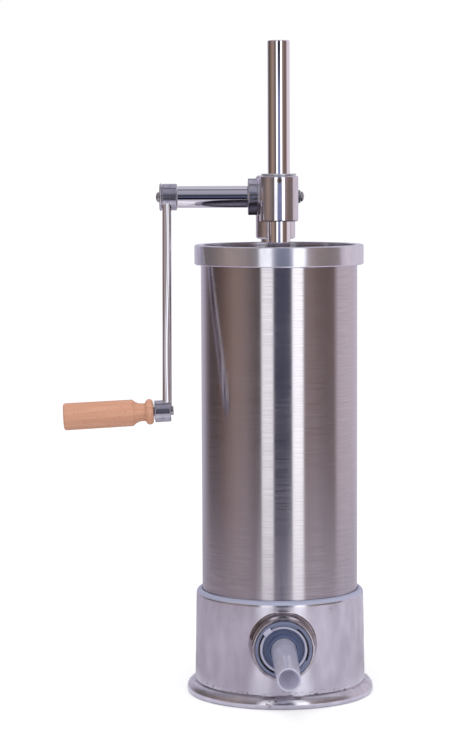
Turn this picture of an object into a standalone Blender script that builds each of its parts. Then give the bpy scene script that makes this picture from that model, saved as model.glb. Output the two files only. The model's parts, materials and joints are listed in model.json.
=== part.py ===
# Vertical sausage stuffer: a crank turns a pinion, the pinion drives a rack rod,
# and the rod pushes a piston down a steel tank towards a filling tube.
# Metres, +Z up. The pieces are built round the tank's axis, with the outlet towards -Y,
# and the whole is then set with the middle of its floor area at the world's origin.
import bpy
import bmesh
from math import acos, cos, degrees, pi, radians, sin, sqrt, tan
from mathutils import Vector

MM = 0.001

# Clearances
SEAT_GAP = 0.3 * MM         # between pieces that touch
RUN_GAP = 0.3 * MM          # between pieces that turn or slide on each other
CUT_OUT = 30.0 * MM         # reach of a cutter beyond the widest piece
OVERRUN = 2.0 * MM          # how far a cut runs past the face that it opens
WELD_DISTANCE = 0.002 * MM  # points nearer than this are one point

# Facets
LARGE_STEPS = 44
MEDIUM_STEPS = 24
SMALL_STEPS = 14
EDGE_STEPS = 3
SHARP_ANGLE = radians(30.0)
DOME_SHARE = 0.75           # share of a domed screw head's height that is domed

# Tank
TANK_R = 71.2 * MM
TANK_WALL = 1.0 * MM
TANK_LENGTH = 327.0 * MM

# Base casting
BASE_H = 96.0 * MM
BASE_TOP_WALL = 5.2 * MM     # wall beside the tank's seat
BASE_DRAFT = 1.4 * MM        # how much wider the wall is at the foot
BASE_RIM_ROUND = 4.6 * MM
BASE_WALL = 6.0 * MM
BASE_LEDGE = 5.0 * MM       # width of the ledge under the tank
TANK_SEAT_DEPTH = 19.0 * MM
BASE_FLOOR_TOP = 33.0 * MM
BASE_FLOOR = 5.0 * MM
FOOT_PROUD = 7.5 * MM
FOOT_STEP = 0.5 * MM        # flat between the wall and the foot's roll
FOOT_H = 11.4 * MM
FOOT_WIDEST_Z = 3.5 * MM
FOOT_UNDER_ROUND = 2.6 * MM
FOOT_UNDER_TURN = 80.0      # degrees

# Seal under the tank
SEAL_T = 3.0 * MM

# Rim round the top of the tank
RIM_WALL = 5.5 * MM
RIM_GRIP = 14.6 * MM        # how much of the tank the rim covers
RIM_LIP = 3.1 * MM
RIM_ROUND = 2.0 * MM

# Rear column and its socket in the base
COLUMN_R = 14.0 * MM
COLUMN_WALL = 2.5 * MM
COLUMN_CLEAR = 3.0 * MM     # between the rim and the column
COLUMN_SEAT_Z = 10.0 * MM
COLUMN_BOSS_WALL = 7.0 * MM
COLUMN_BOSS_H = 80.0 * MM
COLUMN_FOOT_LIP = 5.0 * MM
COLUMN_FOOT_H = 8.0 * MM
COLUMN_WEB_W = 30.0 * MM
COLUMN_WEB_H = 72.0 * MM
COLUMN_ROUND = 2.0 * MM

# Head casting
PISTON_LIFT = 8.0 * MM      # what the thin piston clears the rim by when it is raised
SLEEVE_R = 17.7 * MM
SLEEVE_H = 41.0 * MM
SLEEVE_ROUND = 1.5 * MM
SOCKET_R = 18.75 * MM
SOCKET_ABOVE_RIM = 2.0 * MM
SOCKET_CAP = 7.0 * MM
SOCKET_ROUND = 3.0 * MM
SOCKET_LOW_ROUND = 2.5 * MM
GEAR_BOSS_R = 17.0 * MM
GEAR_BOSS_BELOW_TOP = 2.0 * MM
GEAR_BOSS_LEFT = 18.9 * MM
GEAR_BOSS_RIGHT = 18.0 * MM
HEAD_WEB_W = 27.0 * MM
HEAD_WEB_H = 36.0 * MM
HEAD_WEB_BELOW_TOP = 3.0 * MM
HEAD_WEB_ROUND = 3.0 * MM

# Rack rod and its teeth
ROD_R = 10.0 * MM
ROD_LENGTH = 391.7 * MM     # above the piston
ROD_CHAMFER = 1.0 * MM
MODULE = 2.0 * MM
PRESSURE_ANGLE = radians(20.0)
RACK_TIP_Y = 7.5 * MM       # plane of the rack's tooth tips, behind the rod's axis
RACK_ADDENDUM_SHARE = 0.6   # of the module
RACK_DEDENDUM_SHARE = 1.05  # of the module
BACKLASH = 0.3 * MM
PISTON_STOP = 1.4 * MM      # what the piston stops short of the tank's lower end
SLEEVE_STOP = 0.5 * MM      # what it stops short of the sleeve
STUD_R = 5.0 * MM
STUD_TAIL = 1.0 * MM        # how far the stud passes the nut

# Pinion
PINION_TEETH = 12
PINION_ADDENDUM_SHARE = 0.8
PINION_DEDENDUM_SHARE = 0.82
PINION_WIDTH = 15.0 * MM
POCKET_CLEAR = 0.6 * MM
POCKET_RIGHT = 9.0 * MM
FLANK_STEPS = 3
KEY_SIZE = 3.2 * MM
KEY_LENGTH = 11.0 * MM

# Guide bushes in the sleeve
BUSH_WALL = 2.7 * MM
UPPER_BUSH_L = 11.3 * MM
LOWER_BUSH_L = 6.5 * MM
LOWER_BUSH_INSET = 0.5 * MM
UPPER_BUSH_FLANGE_R = 15.8 * MM
UPPER_BUSH_FLANGE_T = 1.8 * MM
BUSH_SCREW_R = 1.8 * MM
BUSH_SCREW_BELOW_TOP = 4.1 * MM
BUSH_SCREW_INSET = 1.4 * MM

# Set screws that hold the column
SET_SCREW_R = 3.0 * MM
SET_SCREW_INSET = 0.8 * MM
SET_SCREW_HEX_R = 1.7 * MM
SET_SCREW_HEX_DEPTH = 2.5 * MM
BASE_SCREW_Z = 45.0 * MM
HEAD_SCREW_BELOW_TOP = 30.0 * MM

# Bearing cap at the left of the head, and the bushes of the crank shaft
CAP_R = 16.7 * MM
CAP_T = 8.5 * MM
CAP_CHAMFER = 0.8 * MM
CAP_SPIGOT_L = 8.9 * MM
CAP_SPIGOT_CLEAR = 0.3 * MM
SHAFT_BUSH_WALL = 2.5 * MM

# Crank shaft: a chromed length at the left, then two journals
SHAFT_R = 10.0 * MM
SHAFT_OUT_LENGTH = 64.3 * MM
JOURNAL_R = 7.0 * MM
SHAFT_END_R = 5.0 * MM
SHAFT_SQUARE = 9.0 * MM
SHAFT_SQUARE_L = 13.2 * MM
SHAFT_PAST_HEAD = 0.4 * MM

# Screws and discs at the ends of the crank shaft
END_WASHER_R = 6.0 * MM
END_WASHER_T = 1.5 * MM
END_SCREW_HEAD_R = 4.7 * MM
END_SCREW_HEAD_H = 3.3 * MM
END_SCREW_R = 2.5 * MM
END_SCREW_L = 8.0 * MM
CRANK_DISC_R = 12.5 * MM
CRANK_DISC_T = 2.1 * MM
CRANK_SCREW_HEAD_R = 4.6 * MM
CRANK_SCREW_HEAD_H = 3.0 * MM
CRANK_SCREW_R = 3.0 * MM
CRANK_SCREW_L = 12.0 * MM

# Crank arm
CRANK_LENGTH = 203.0 * MM
CRANK_LEAN = radians(21.5)  # the arm's lower end stands forward of the shaft at rest
HUB_R = 12.15 * MM
HUB_L = 13.7 * MM
HUB_ROUND = 1.0 * MM
ARM_T = 8.2 * MM
ARM_W = 16.5 * MM
ARM_ROUND = 3.2 * MM
ARM_FROM_HUB_END = 0.3 * MM
GRIP_HUB_R = 9.75 * MM
GRIP_HUB_L = 14.3 * MM
GRIP_HUB_OUT = 3.9 * MM     # how far the lower hub's middle lies outside the arm's

# Turned grip and its bolt
GRIP_DROOP = radians(3.2)   # the bolt hangs a little at its outer end
GRIP_LENGTH = 80.2 * MM
GRIP_END_R = 12.1 * MM
GRIP_NECK_R = 8.0 * MM
GRIP_NECK_SWEEP = 11.2 * MM  # radius of the hollow between the neck and the shoulder
GRIP_SWEEP_TURN = 49.0      # degrees
GRIP_BEAD_R = 11.45 * MM
GRIP_END_ROUND = 2.4 * MM
GRIP_BEAD_SHARE = 0.0865    # shares of the grip's length, from its inner end
GRIP_GROOVE_SHARE = 0.092
GRIP_WAIST_SHARE = 0.124
GRIP_BEAD_ARC = 70.0        # degrees to each side that the bead is round for
BOLT_R = 4.0 * MM
BOLT_TAIL = 2.5 * MM
BOLT_HEAD_R = 7.0 * MM
BOLT_HEAD_T = 4.0 * MM
BOLT_HEAD_INSET = 1.5 * MM
GRIP_WASHER_R = 7.2 * MM
GRIP_WASHER_T = 0.5 * MM

# Piston
PISTON_T = 13.0 * MM
PISTON_RISE = 109.4 * MM    # piston above the tank's lower end, at rest
PISTON_PLATE_CLEAR = 2.7 * MM
PISTON_GROOVE = 5.2 * MM    # height of the groove
PISTON_GROOVE_DEPTH = 3.5 * MM
PISTON_ROUND = 1.2 * MM
GASKET_RELIEF = 1.0 * MM
PISTON_RECESS_R = 14.0 * MM
PISTON_WEB = 4.4 * MM       # plate left above the recess
PISTON_WASHER_R = 11.0 * MM
PISTON_WASHER_T = 1.5 * MM
PISTON_NUT_R = 9.2 * MM
PISTON_NUT_T = 5.0 * MM
VALVE_FROM_AXIS = 38.0 * MM
VALVE_R = 4.0 * MM
VALVE_HEAD_R = 7.0 * MM
VALVE_HEAD_T = 3.0 * MM
VALVE_BORE_R = 1.5 * MM

# Outlet boss
OUTLET_Z = 57.0 * MM
OUTLET_BOSS_R = 28.3 * MM
OUTLET_PROUD = 19.4 * MM    # how far the boss's face is in front of the wall
OUTLET_LIP = 2.8 * MM
OUTLET_FLARE = 3.0 * MM
OUTLET_SEAT_DEPTH = 13.5 * MM
OUTLET_BORE_R = 16.5 * MM
OUTLET_ROUND = 1.4 * MM

# Nozzle: gasket, bayonet ring, holder and filling tube
NOZZLE_GASKET_T = 1.8 * MM
NOZZLE_GASKET_W = 8.5 * MM
LOCK_RING_PROUD = 1.0 * MM
LOCK_RING_INNER_R = 22.6 * MM
LOCK_LIP_T = 4.6 * MM
LOCK_LIP_SPAN = radians(86.0)
LOCK_ROUND = 0.7 * MM
HOLDER_R = 21.0 * MM
HOLDER_INSET = 0.3 * MM     # behind the boss's face
HOLDER_RIM = 2.0 * MM
HOLDER_RECESS = 4.0 * MM
HOLDER_COLLAR_WALL = 1.2 * MM
HOLDER_COLLAR_PROUD = 4.5 * MM  # in front of the holder's rim
HOLDER_COLLAR_ROUND = 2.0 * MM
HOLDER_TAB_R = 22.2 * MM
HOLDER_TAB_SPAN = radians(60.0)
HOLDER_TAB_T = 3.8 * MM
HOLDER_LUG_R = 23.7 * MM    # thumb lug, in front of the ring
HOLDER_LUG_T = 1.5 * MM
HOLDER_LUG_SPAN = radians(21.0)
HOLDER_LUG_TURN = radians(131.5)
TUBE_ROOT_R = 11.5 * MM
TUBE_TIP_R = 10.05 * MM
TUBE_WALL = 1.7 * MM
TUBE_PROUD = 121.5 * MM     # how far the tube's tip is in front of the boss's face
TUBE_FLANGE_R = 19.5 * MM
TUBE_FLANGE_T = 1.8 * MM

# Heights, from the floor up
LEDGE_Z = BASE_H - TANK_SEAT_DEPTH
SEAL_Z = LEDGE_Z + SEAT_GAP
TANK_Z = SEAL_Z + SEAL_T + SEAT_GAP
TANK_TOP = TANK_Z + TANK_LENGTH
RIM_Z = TANK_TOP - RIM_GRIP
RIM_TOP = TANK_TOP + SEAT_GAP + RIM_LIP
PISTON_Z = TANK_Z + PISTON_RISE
PISTON_TOP = PISTON_Z + PISTON_T
SLEEVE_Z = RIM_TOP + PISTON_T + PISTON_LIFT
HEAD_TOP = SLEEVE_Z + SLEEVE_H
SOCKET_Z = RIM_TOP + SOCKET_ABOVE_RIM
SHAFT_Z = HEAD_TOP - GEAR_BOSS_BELOW_TOP - GEAR_BOSS_R
ROD_Z = PISTON_TOP + SEAT_GAP
ROD_TOP = ROD_Z + ROD_LENGTH

# Places across
TANK_SEAT_R = TANK_R + SEAT_GAP
BASE_TOP_R = TANK_SEAT_R + BASE_TOP_WALL
BASE_BOTTOM_R = BASE_TOP_R + BASE_DRAFT
FOOT_R = BASE_BOTTOM_R + FOOT_PROUD
RIM_R = TANK_SEAT_R + RIM_WALL
COLUMN_Y = RIM_R + COLUMN_CLEAR + COLUMN_R
PITCH_R = PINION_TEETH * MODULE / 2
PITCH_LINE_Y = RACK_TIP_Y - RACK_ADDENDUM_SHARE * MODULE
SHAFT_Y = PITCH_LINE_Y + PITCH_R
PINION_TIP_R = PITCH_R + PINION_ADDENDUM_SHARE * MODULE
PINION_ROOT_R = PITCH_R - PINION_DEDENDUM_SHARE * MODULE
POCKET_R = PINION_TIP_R + POCKET_CLEAR
BUSH_R = ROD_R + RUN_GAP + BUSH_WALL

# Travel of the rack from rest
TRAVEL_DOWN = PISTON_RISE - PISTON_STOP
TRAVEL_UP = SLEEVE_Z - PISTON_TOP - SLEEVE_STOP

# Places along the crank shaft, to the right of the tank's axis
CAP_RIGHT_X = -GEAR_BOSS_LEFT - SEAT_GAP
CAP_LEFT_X = CAP_RIGHT_X - CAP_T
SHAFT_SHOULDER_X = CAP_LEFT_X - RUN_GAP
HUB_RIGHT_X = SHAFT_SHOULDER_X - SHAFT_OUT_LENGTH - SEAT_GAP
HUB_LEFT_X = HUB_RIGHT_X - HUB_L
ARM_X = HUB_LEFT_X + ARM_FROM_HUB_END + ARM_T / 2
GRIP_HUB_X = ARM_X - GRIP_HUB_OUT
SHAFT_RIGHT_X = GEAR_BOSS_RIGHT + SHAFT_PAST_HEAD

# Places along the nozzle, in front of the tank's axis
OUTLET_FACE_Y = BASE_BOTTOM_R + OUTLET_PROUD
TUBE_TIP_Y = OUTLET_FACE_Y + TUBE_PROUD
OUTLET_SEAT_Y = OUTLET_FACE_Y - OUTLET_SEAT_DEPTH
GASKET_FRONT_Y = OUTLET_SEAT_Y + SEAT_GAP + NOZZLE_GASKET_T
LOCK_BACK_Y = GASKET_FRONT_Y + SEAT_GAP
LOCK_FRONT_Y = OUTLET_FACE_Y + LOCK_RING_PROUD
LOCK_LIP_BACK_Y = LOCK_FRONT_Y - LOCK_LIP_T
TUBE_FLANGE_FRONT_Y = LOCK_BACK_Y + TUBE_FLANGE_T
HOLDER_BACK_Y = TUBE_FLANGE_FRONT_Y + SEAT_GAP
HOLDER_FRONT_Y = OUTLET_FACE_Y - HOLDER_INSET

FINISHES = {
    # name: colour, roughness, metallic
    "cast_aluminium": ((0.70, 0.70, 0.73), 0.22, 1.0),
    "brushed_steel": ((0.60, 0.58, 0.57), 0.30, 1.0),
    "chrome": ((0.72, 0.71, 0.72), 0.08, 1.0),
    "plain_steel": ((0.50, 0.50, 0.51), 0.35, 1.0),
    "brass": ((0.72, 0.53, 0.25), 0.30, 1.0),
    "bronze": ((0.55, 0.36, 0.18), 0.40, 1.0),
    "beech": ((0.66, 0.38, 0.21), 0.55, 0.0),
    "rubber": ((0.80, 0.79, 0.76), 0.70, 0.0),
    "blue_grey_plastic": ((0.23, 0.29, 0.38), 0.40, 0.0),
    "clear_plastic": ((0.80, 0.81, 0.86), 0.25, 0.0),
    "nylon": ((0.85, 0.84, 0.80), 0.50, 0.0),
}


def clear_scene():
    for old in list(bpy.data.objects):
        bpy.data.objects.remove(old, do_unlink=True)


def collection(name):
    made = bpy.data.collections.new(name)
    bpy.context.scene.collection.children.link(made)
    return made


def finish(name):
    found = bpy.data.materials.get(name)
    if found:
        return found
    colour, roughness, metallic = FINISHES[name]
    made = bpy.data.materials.new(name)
    made.use_nodes = True
    shader = made.node_tree.nodes["Principled BSDF"]
    shader.inputs["Base Color"].default_value = (*colour, 1.0)
    shader.inputs["Roughness"].default_value = roughness
    shader.inputs["Metallic"].default_value = metallic
    made.diffuse_color = (*colour, 1.0)
    return made


# Makers of plain forms. Each gives an object in the cutters' collection, which piece() moves on.

def new_object(name, data):
    made = bpy.data.objects.new(name, data)
    CUTTERS.objects.link(made)
    made.hide_render = True
    made.display_type = 'WIRE'
    return made


def turned(name, outline, steps):
    """Turn (radius, height) points about Z; they run down the outside, and then up any bore."""
    mesh = bpy.data.meshes.new(name)
    points = [(radius, 0.0, height) for radius, height in outline]
    edges = [(i, i + 1) for i in range(len(points) - 1)]
    if outline[0][0] > 0.0:
        edges.append((len(points) - 1, 0))
    mesh.from_pydata(points, edges, [])
    made = new_object(name, mesh)
    screw = made.modifiers.new("turn", 'SCREW')
    screw.steps = steps
    screw.render_steps = steps
    screw.use_merge_vertices = True
    screw.merge_threshold = WELD_DISTANCE
    return made


def tube(name, outer, inner, low, high, steps):
    return turned(name, [(outer, high), (outer, low), (inner, low), (inner, high)], steps)


def rod(name, radius, low, high, steps):
    return turned(name, [(0.0, high), (radius, high), (radius, low), (0.0, low)], steps)


def block(name, low, high, round_off=0.0):
    """A box between two corners, with its edges rounded off if asked."""
    mesh = bpy.data.meshes.new(name)
    shape = bmesh.new()
    bmesh.ops.create_cube(shape, size=1.0)
    low = Vector(low)
    high = Vector(high)
    bmesh.ops.scale(shape, vec=high - low, verts=shape.verts)
    bmesh.ops.translate(shape, vec=(high + low) / 2, verts=shape.verts)
    if round_off:
        bmesh.ops.bevel(shape, geom=shape.edges[:], offset=round_off, segments=2,
                        profile=0.5, affect='EDGES')
    shape.to_mesh(mesh)
    shape.free()
    return new_object(name, mesh)


def slab(name, outlines, thickness):
    """A flat plate in the XY plane round Z = 0, from closed outlines; inner ones are holes."""
    curve = bpy.data.curves.new(name, 'CURVE')
    curve.dimensions = '2D'
    curve.fill_mode = 'BOTH'
    curve.extrude = thickness / 2
    for outline in outlines:
        spline = curve.splines.new('POLY')
        spline.points.add(len(outline) - 1)
        for point, (x, y) in zip(spline.points, outline):
            point.co = (x, y, 0.0, 1.0)
        spline.use_cyclic_u = True
    drawn = new_object(name, curve)
    bpy.context.view_layer.update()
    seen = drawn.evaluated_get(bpy.context.evaluated_depsgraph_get())
    mesh = bpy.data.meshes.new_from_object(seen)
    bpy.data.objects.remove(drawn, do_unlink=True)
    shape = bmesh.new()
    shape.from_mesh(mesh)
    bmesh.ops.remove_doubles(shape, verts=shape.verts, dist=WELD_DISTANCE)
    bmesh.ops.recalc_face_normals(shape, faces=shape.faces)
    shape.to_mesh(mesh)
    shape.free()
    return new_object(name, mesh)


def arc(centre, radii, start, end, steps):
    """Points on an ellipse's arc, from start to end in degrees."""
    points = []
    for i in range(steps + 1):
        angle = radians(start + (end - start) * i / steps)
        points.append((centre[0] + radii[0] * cos(angle), centre[1] + radii[1] * sin(angle)))
    return points


def ring_points(radius, count, turn=0.0):
    return [(radius * cos(turn + 2 * pi * i / count), radius * sin(turn + 2 * pi * i / count))
            for i in range(count)]


def placed(thing, location=(0.0, 0.0, 0.0), rotation=(0.0, 0.0, 0.0)):
    thing.location = location
    thing.rotation_euler = rotation
    return thing


ALONG_X = (0.0, pi / 2, 0.0)        # turns a piece's +Z to +X
ALONG_LEFT = (0.0, -pi / 2, 0.0)    # turns a piece's +Z to -X
TO_FRONT = (pi / 2, 0.0, 0.0)       # turns a piece's +Z to -Y
TO_BACK = (-pi / 2, 0.0, 0.0)       # turns a piece's +Z to +Y


def piece(name, body, look, joined=(), cuts=(), parent=None):
    """Join and cut a body, keep the result as the piece's mesh, and give it its finish."""
    for tool in list(joined) + list(cuts):
        step = body.modifiers.new(tool.name, 'BOOLEAN')
        step.operation = 'UNION' if tool in joined else 'DIFFERENCE'
        step.object = tool
        weld = body.modifiers.new("weld", 'WELD')
        weld.merge_threshold = WELD_DISTANCE
    bpy.context.view_layer.update()
    seen = body.evaluated_get(bpy.context.evaluated_depsgraph_get())
    mesh = bpy.data.meshes.new_from_object(seen)
    mesh.name = name
    body.modifiers.clear()
    body.data = mesh
    body.name = name
    shape = bmesh.new()
    shape.from_mesh(mesh)
    bmesh.ops.remove_doubles(shape, verts=shape.verts, dist=WELD_DISTANCE)
    shape.to_mesh(mesh)
    shape.free()
    mesh.shade_smooth()
    mesh.set_sharp_from_angle(angle=SHARP_ANGLE)
    mesh.materials.clear()
    mesh.materials.append(finish(look))
    CUTTERS.objects.unlink(body)
    PARTS.objects.link(body)
    body.hide_render = False
    body.display_type = 'TEXTURED'
    body.parent = parent or STUFFER
    for tool in list(joined) + list(cuts):
        bpy.data.objects.remove(tool, do_unlink=True)
    return body


def empty(name, location, rotation=(0.0, 0.0, 0.0), parent=None):
    made = bpy.data.objects.new(name, None)
    PARTS.objects.link(made)
    made.location = location
    made.rotation_euler = rotation
    made.parent = parent
    return made


# Base, seal, tank and rim

def base_outline():
    outside = [(0.0, BASE_H)]
    round_centre = (BASE_TOP_R - BASE_RIM_ROUND, BASE_H - BASE_RIM_ROUND)
    outside += arc(round_centre, (BASE_RIM_ROUND, BASE_RIM_ROUND), 90.0, 0.0, 4)
    outside += [(BASE_BOTTOM_R, FOOT_H)]
    foot_roll = (FOOT_R - BASE_BOTTOM_R - FOOT_STEP, FOOT_H - FOOT_WIDEST_Z)
    outside += arc((FOOT_R - foot_roll[0], FOOT_WIDEST_Z), foot_roll, 90.0, 0.0, 5)
    under = (FOOT_UNDER_ROUND, FOOT_WIDEST_Z)
    outside += arc((FOOT_R - FOOT_UNDER_ROUND, FOOT_WIDEST_Z), under, -FOOT_UNDER_TURN / 2,
                   -FOOT_UNDER_TURN, 2)
    outside += [(FOOT_R - FOOT_UNDER_ROUND, -OVERRUN), (0.0, -OVERRUN)]
    return outside


def outlet_boss():
    face = OUTLET_FACE_Y
    wall = BASE_BOTTOM_R
    outline = [(0.0, face), (OUTLET_BOSS_R - OUTLET_ROUND, face),
               (OUTLET_BOSS_R, face - OUTLET_ROUND),
               (OUTLET_BOSS_R, wall + OUTLET_FLARE),
               (OUTLET_BOSS_R + OUTLET_FLARE / 4, wall + OUTLET_FLARE / 3),
               (OUTLET_BOSS_R + OUTLET_FLARE, wall - OUTLET_FLARE),
               (OUTLET_BOSS_R + OUTLET_FLARE, wall - OUTLET_BORE_R), (0.0, wall - OUTLET_BORE_R)]
    return placed(turned("outlet_boss", outline, MEDIUM_STEPS), (0.0, 0.0, OUTLET_Z), TO_FRONT)


def column_boss():
    radius = COLUMN_R + COLUMN_BOSS_WALL
    foot = radius + COLUMN_FOOT_LIP
    outline = [(0.0, COLUMN_BOSS_H), (radius - COLUMN_ROUND, COLUMN_BOSS_H),
               (radius, COLUMN_BOSS_H - COLUMN_ROUND), (radius, COLUMN_FOOT_H),
               (foot - COLUMN_ROUND, COLUMN_FOOT_H), (foot, COLUMN_FOOT_H - COLUMN_ROUND),
               (foot, -OVERRUN), (0.0, -OVERRUN)]
    return placed(turned("column_boss", outline, MEDIUM_STEPS), (0.0, COLUMN_Y, 0.0))


def make_base():
    cavity_r = TANK_SEAT_R - BASE_LEDGE
    top_cut = turned("top_cut", [(0.0, BASE_H + OVERRUN), (TANK_SEAT_R, BASE_H + OVERRUN),
                                 (TANK_SEAT_R, LEDGE_Z), (cavity_r, LEDGE_Z),
                                 (cavity_r, BASE_FLOOR_TOP), (0.0, BASE_FLOOR_TOP)], LARGE_STEPS)
    under_cut = rod("under_cut", BASE_BOTTOM_R - BASE_WALL, -2 * OVERRUN,
                    BASE_FLOOR_TOP - BASE_FLOOR, LARGE_STEPS)
    web = block("web", (-COLUMN_WEB_W / 2, BASE_BOTTOM_R - BASE_WALL / 2, -OVERRUN),
                (COLUMN_WEB_W / 2, COLUMN_Y, COLUMN_WEB_H))
    column_cut = placed(rod("column_cut", COLUMN_R + SEAT_GAP, COLUMN_SEAT_Z,
                            COLUMN_BOSS_H + OVERRUN, MEDIUM_STEPS), (0.0, COLUMN_Y, 0.0))
    reach = FOOT_R + CUT_OUT
    back = COLUMN_Y + COLUMN_R + COLUMN_BOSS_WALL + COLUMN_FOOT_LIP + CUT_OUT
    floor_cut = block("floor_cut", (-reach, -reach, -3 * OVERRUN), (reach, back, 0.0))
    seat_cut = turned("seat_cut", [(0.0, OUTLET_FACE_Y + OVERRUN),
                                   (OUTLET_BOSS_R - OUTLET_LIP, OUTLET_FACE_Y + OVERRUN),
                                   (OUTLET_BOSS_R - OUTLET_LIP, OUTLET_SEAT_Y),
                                   (OUTLET_BORE_R, OUTLET_SEAT_Y),
                                   (OUTLET_BORE_R, OUTLET_BORE_R * 2),
                                   (0.0, OUTLET_BORE_R * 2)], MEDIUM_STEPS)
    placed(seat_cut, (0.0, 0.0, OUTLET_Z), TO_FRONT)
    screw_cut = rod("screw_cut", SET_SCREW_R + SEAT_GAP, 0.0,
                    COLUMN_R + COLUMN_BOSS_WALL + COLUMN_FOOT_LIP, SMALL_STEPS)
    placed(screw_cut, (0.0, COLUMN_Y, BASE_SCREW_Z), TO_BACK)
    body = turned("base", base_outline(), LARGE_STEPS)
    piece("base_casting", body, "cast_aluminium", joined=[column_boss(), web, outlet_boss()],
          cuts=[top_cut, under_cut, column_cut, floor_cut, seat_cut, screw_cut])


def make_tank():
    seal_inner = TANK_SEAT_R - BASE_LEDGE + SEAL_T / 3
    seal = tube("seal", TANK_R, seal_inner, SEAL_Z, SEAL_Z + SEAL_T, LARGE_STEPS)
    piece("tank_seal", seal, "rubber")
    wall = tube("wall", TANK_R, TANK_R - TANK_WALL, TANK_Z, TANK_TOP, LARGE_STEPS)
    piece("tank_cylinder", wall, "brushed_steel")
    lip_r = TANK_R - TANK_WALL
    outline = arc((RIM_R - RIM_ROUND, RIM_TOP - RIM_ROUND), (RIM_ROUND, RIM_ROUND), 90.0, 0.0, EDGE_STEPS)
    outline += arc((RIM_R - RIM_ROUND, RIM_Z + RIM_ROUND), (RIM_ROUND, RIM_ROUND), 0.0, -90.0, EDGE_STEPS)
    outline += [(TANK_SEAT_R, RIM_Z), (TANK_SEAT_R, TANK_TOP + SEAT_GAP), (lip_r, TANK_TOP + SEAT_GAP),
                (lip_r, RIM_TOP - RIM_ROUND / 2), (lip_r + RIM_ROUND / 2, RIM_TOP)]
    piece("tank_rim", turned("rim", outline, LARGE_STEPS), "cast_aluminium")


# Column, head and the bushes that guide the rack

def set_screw(name, radius, start, end, look, hex_r, hex_depth):
    """A grub screw along +Z, with a hexagon socket in its outer end."""
    body = rod(name, radius, start, end, SMALL_STEPS)
    socket = slab("socket", [ring_points(hex_r, 6)], 2 * hex_depth)
    return body, placed(socket, (0.0, 0.0, end)), look


def fit_set_screw(name, made, location, rotation):
    body, socket, look = made
    screw = piece(name, body, look, cuts=[socket])
    placed(screw, location, rotation)


def make_column():
    column = tube("column", COLUMN_R, COLUMN_R - COLUMN_WALL, COLUMN_SEAT_Z + SEAT_GAP,
                  HEAD_TOP - SOCKET_CAP - SEAT_GAP, MEDIUM_STEPS)
    placed(piece("rear_column", column, "chrome"), (0.0, COLUMN_Y, 0.0))
    inner = COLUMN_R + SEAT_GAP
    base_screw = set_screw("base_set_screw", SET_SCREW_R, inner,
                           COLUMN_R + COLUMN_BOSS_WALL - SET_SCREW_INSET, "plain_steel",
                           SET_SCREW_HEX_R, SET_SCREW_HEX_DEPTH)
    fit_set_screw("base_set_screw", base_screw, (0.0, COLUMN_Y, BASE_SCREW_Z), TO_BACK)
    head_screw = set_screw("head_set_screw", SET_SCREW_R, inner, SOCKET_R - SEAT_GAP,
                           "plain_steel", SET_SCREW_HEX_R, SET_SCREW_HEX_DEPTH)
    fit_set_screw("head_set_screw", head_screw,
                  (0.0, COLUMN_Y, HEAD_TOP - HEAD_SCREW_BELOW_TOP), TO_BACK)


def gear_pocket():
    """The round space for the pinion, open to the left of the head."""
    pocket = rod("gear_pocket", POCKET_R, -GEAR_BOSS_LEFT - OVERRUN, POCKET_RIGHT, MEDIUM_STEPS)
    return placed(pocket, (0.0, SHAFT_Y, SHAFT_Z), ALONG_X)


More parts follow.
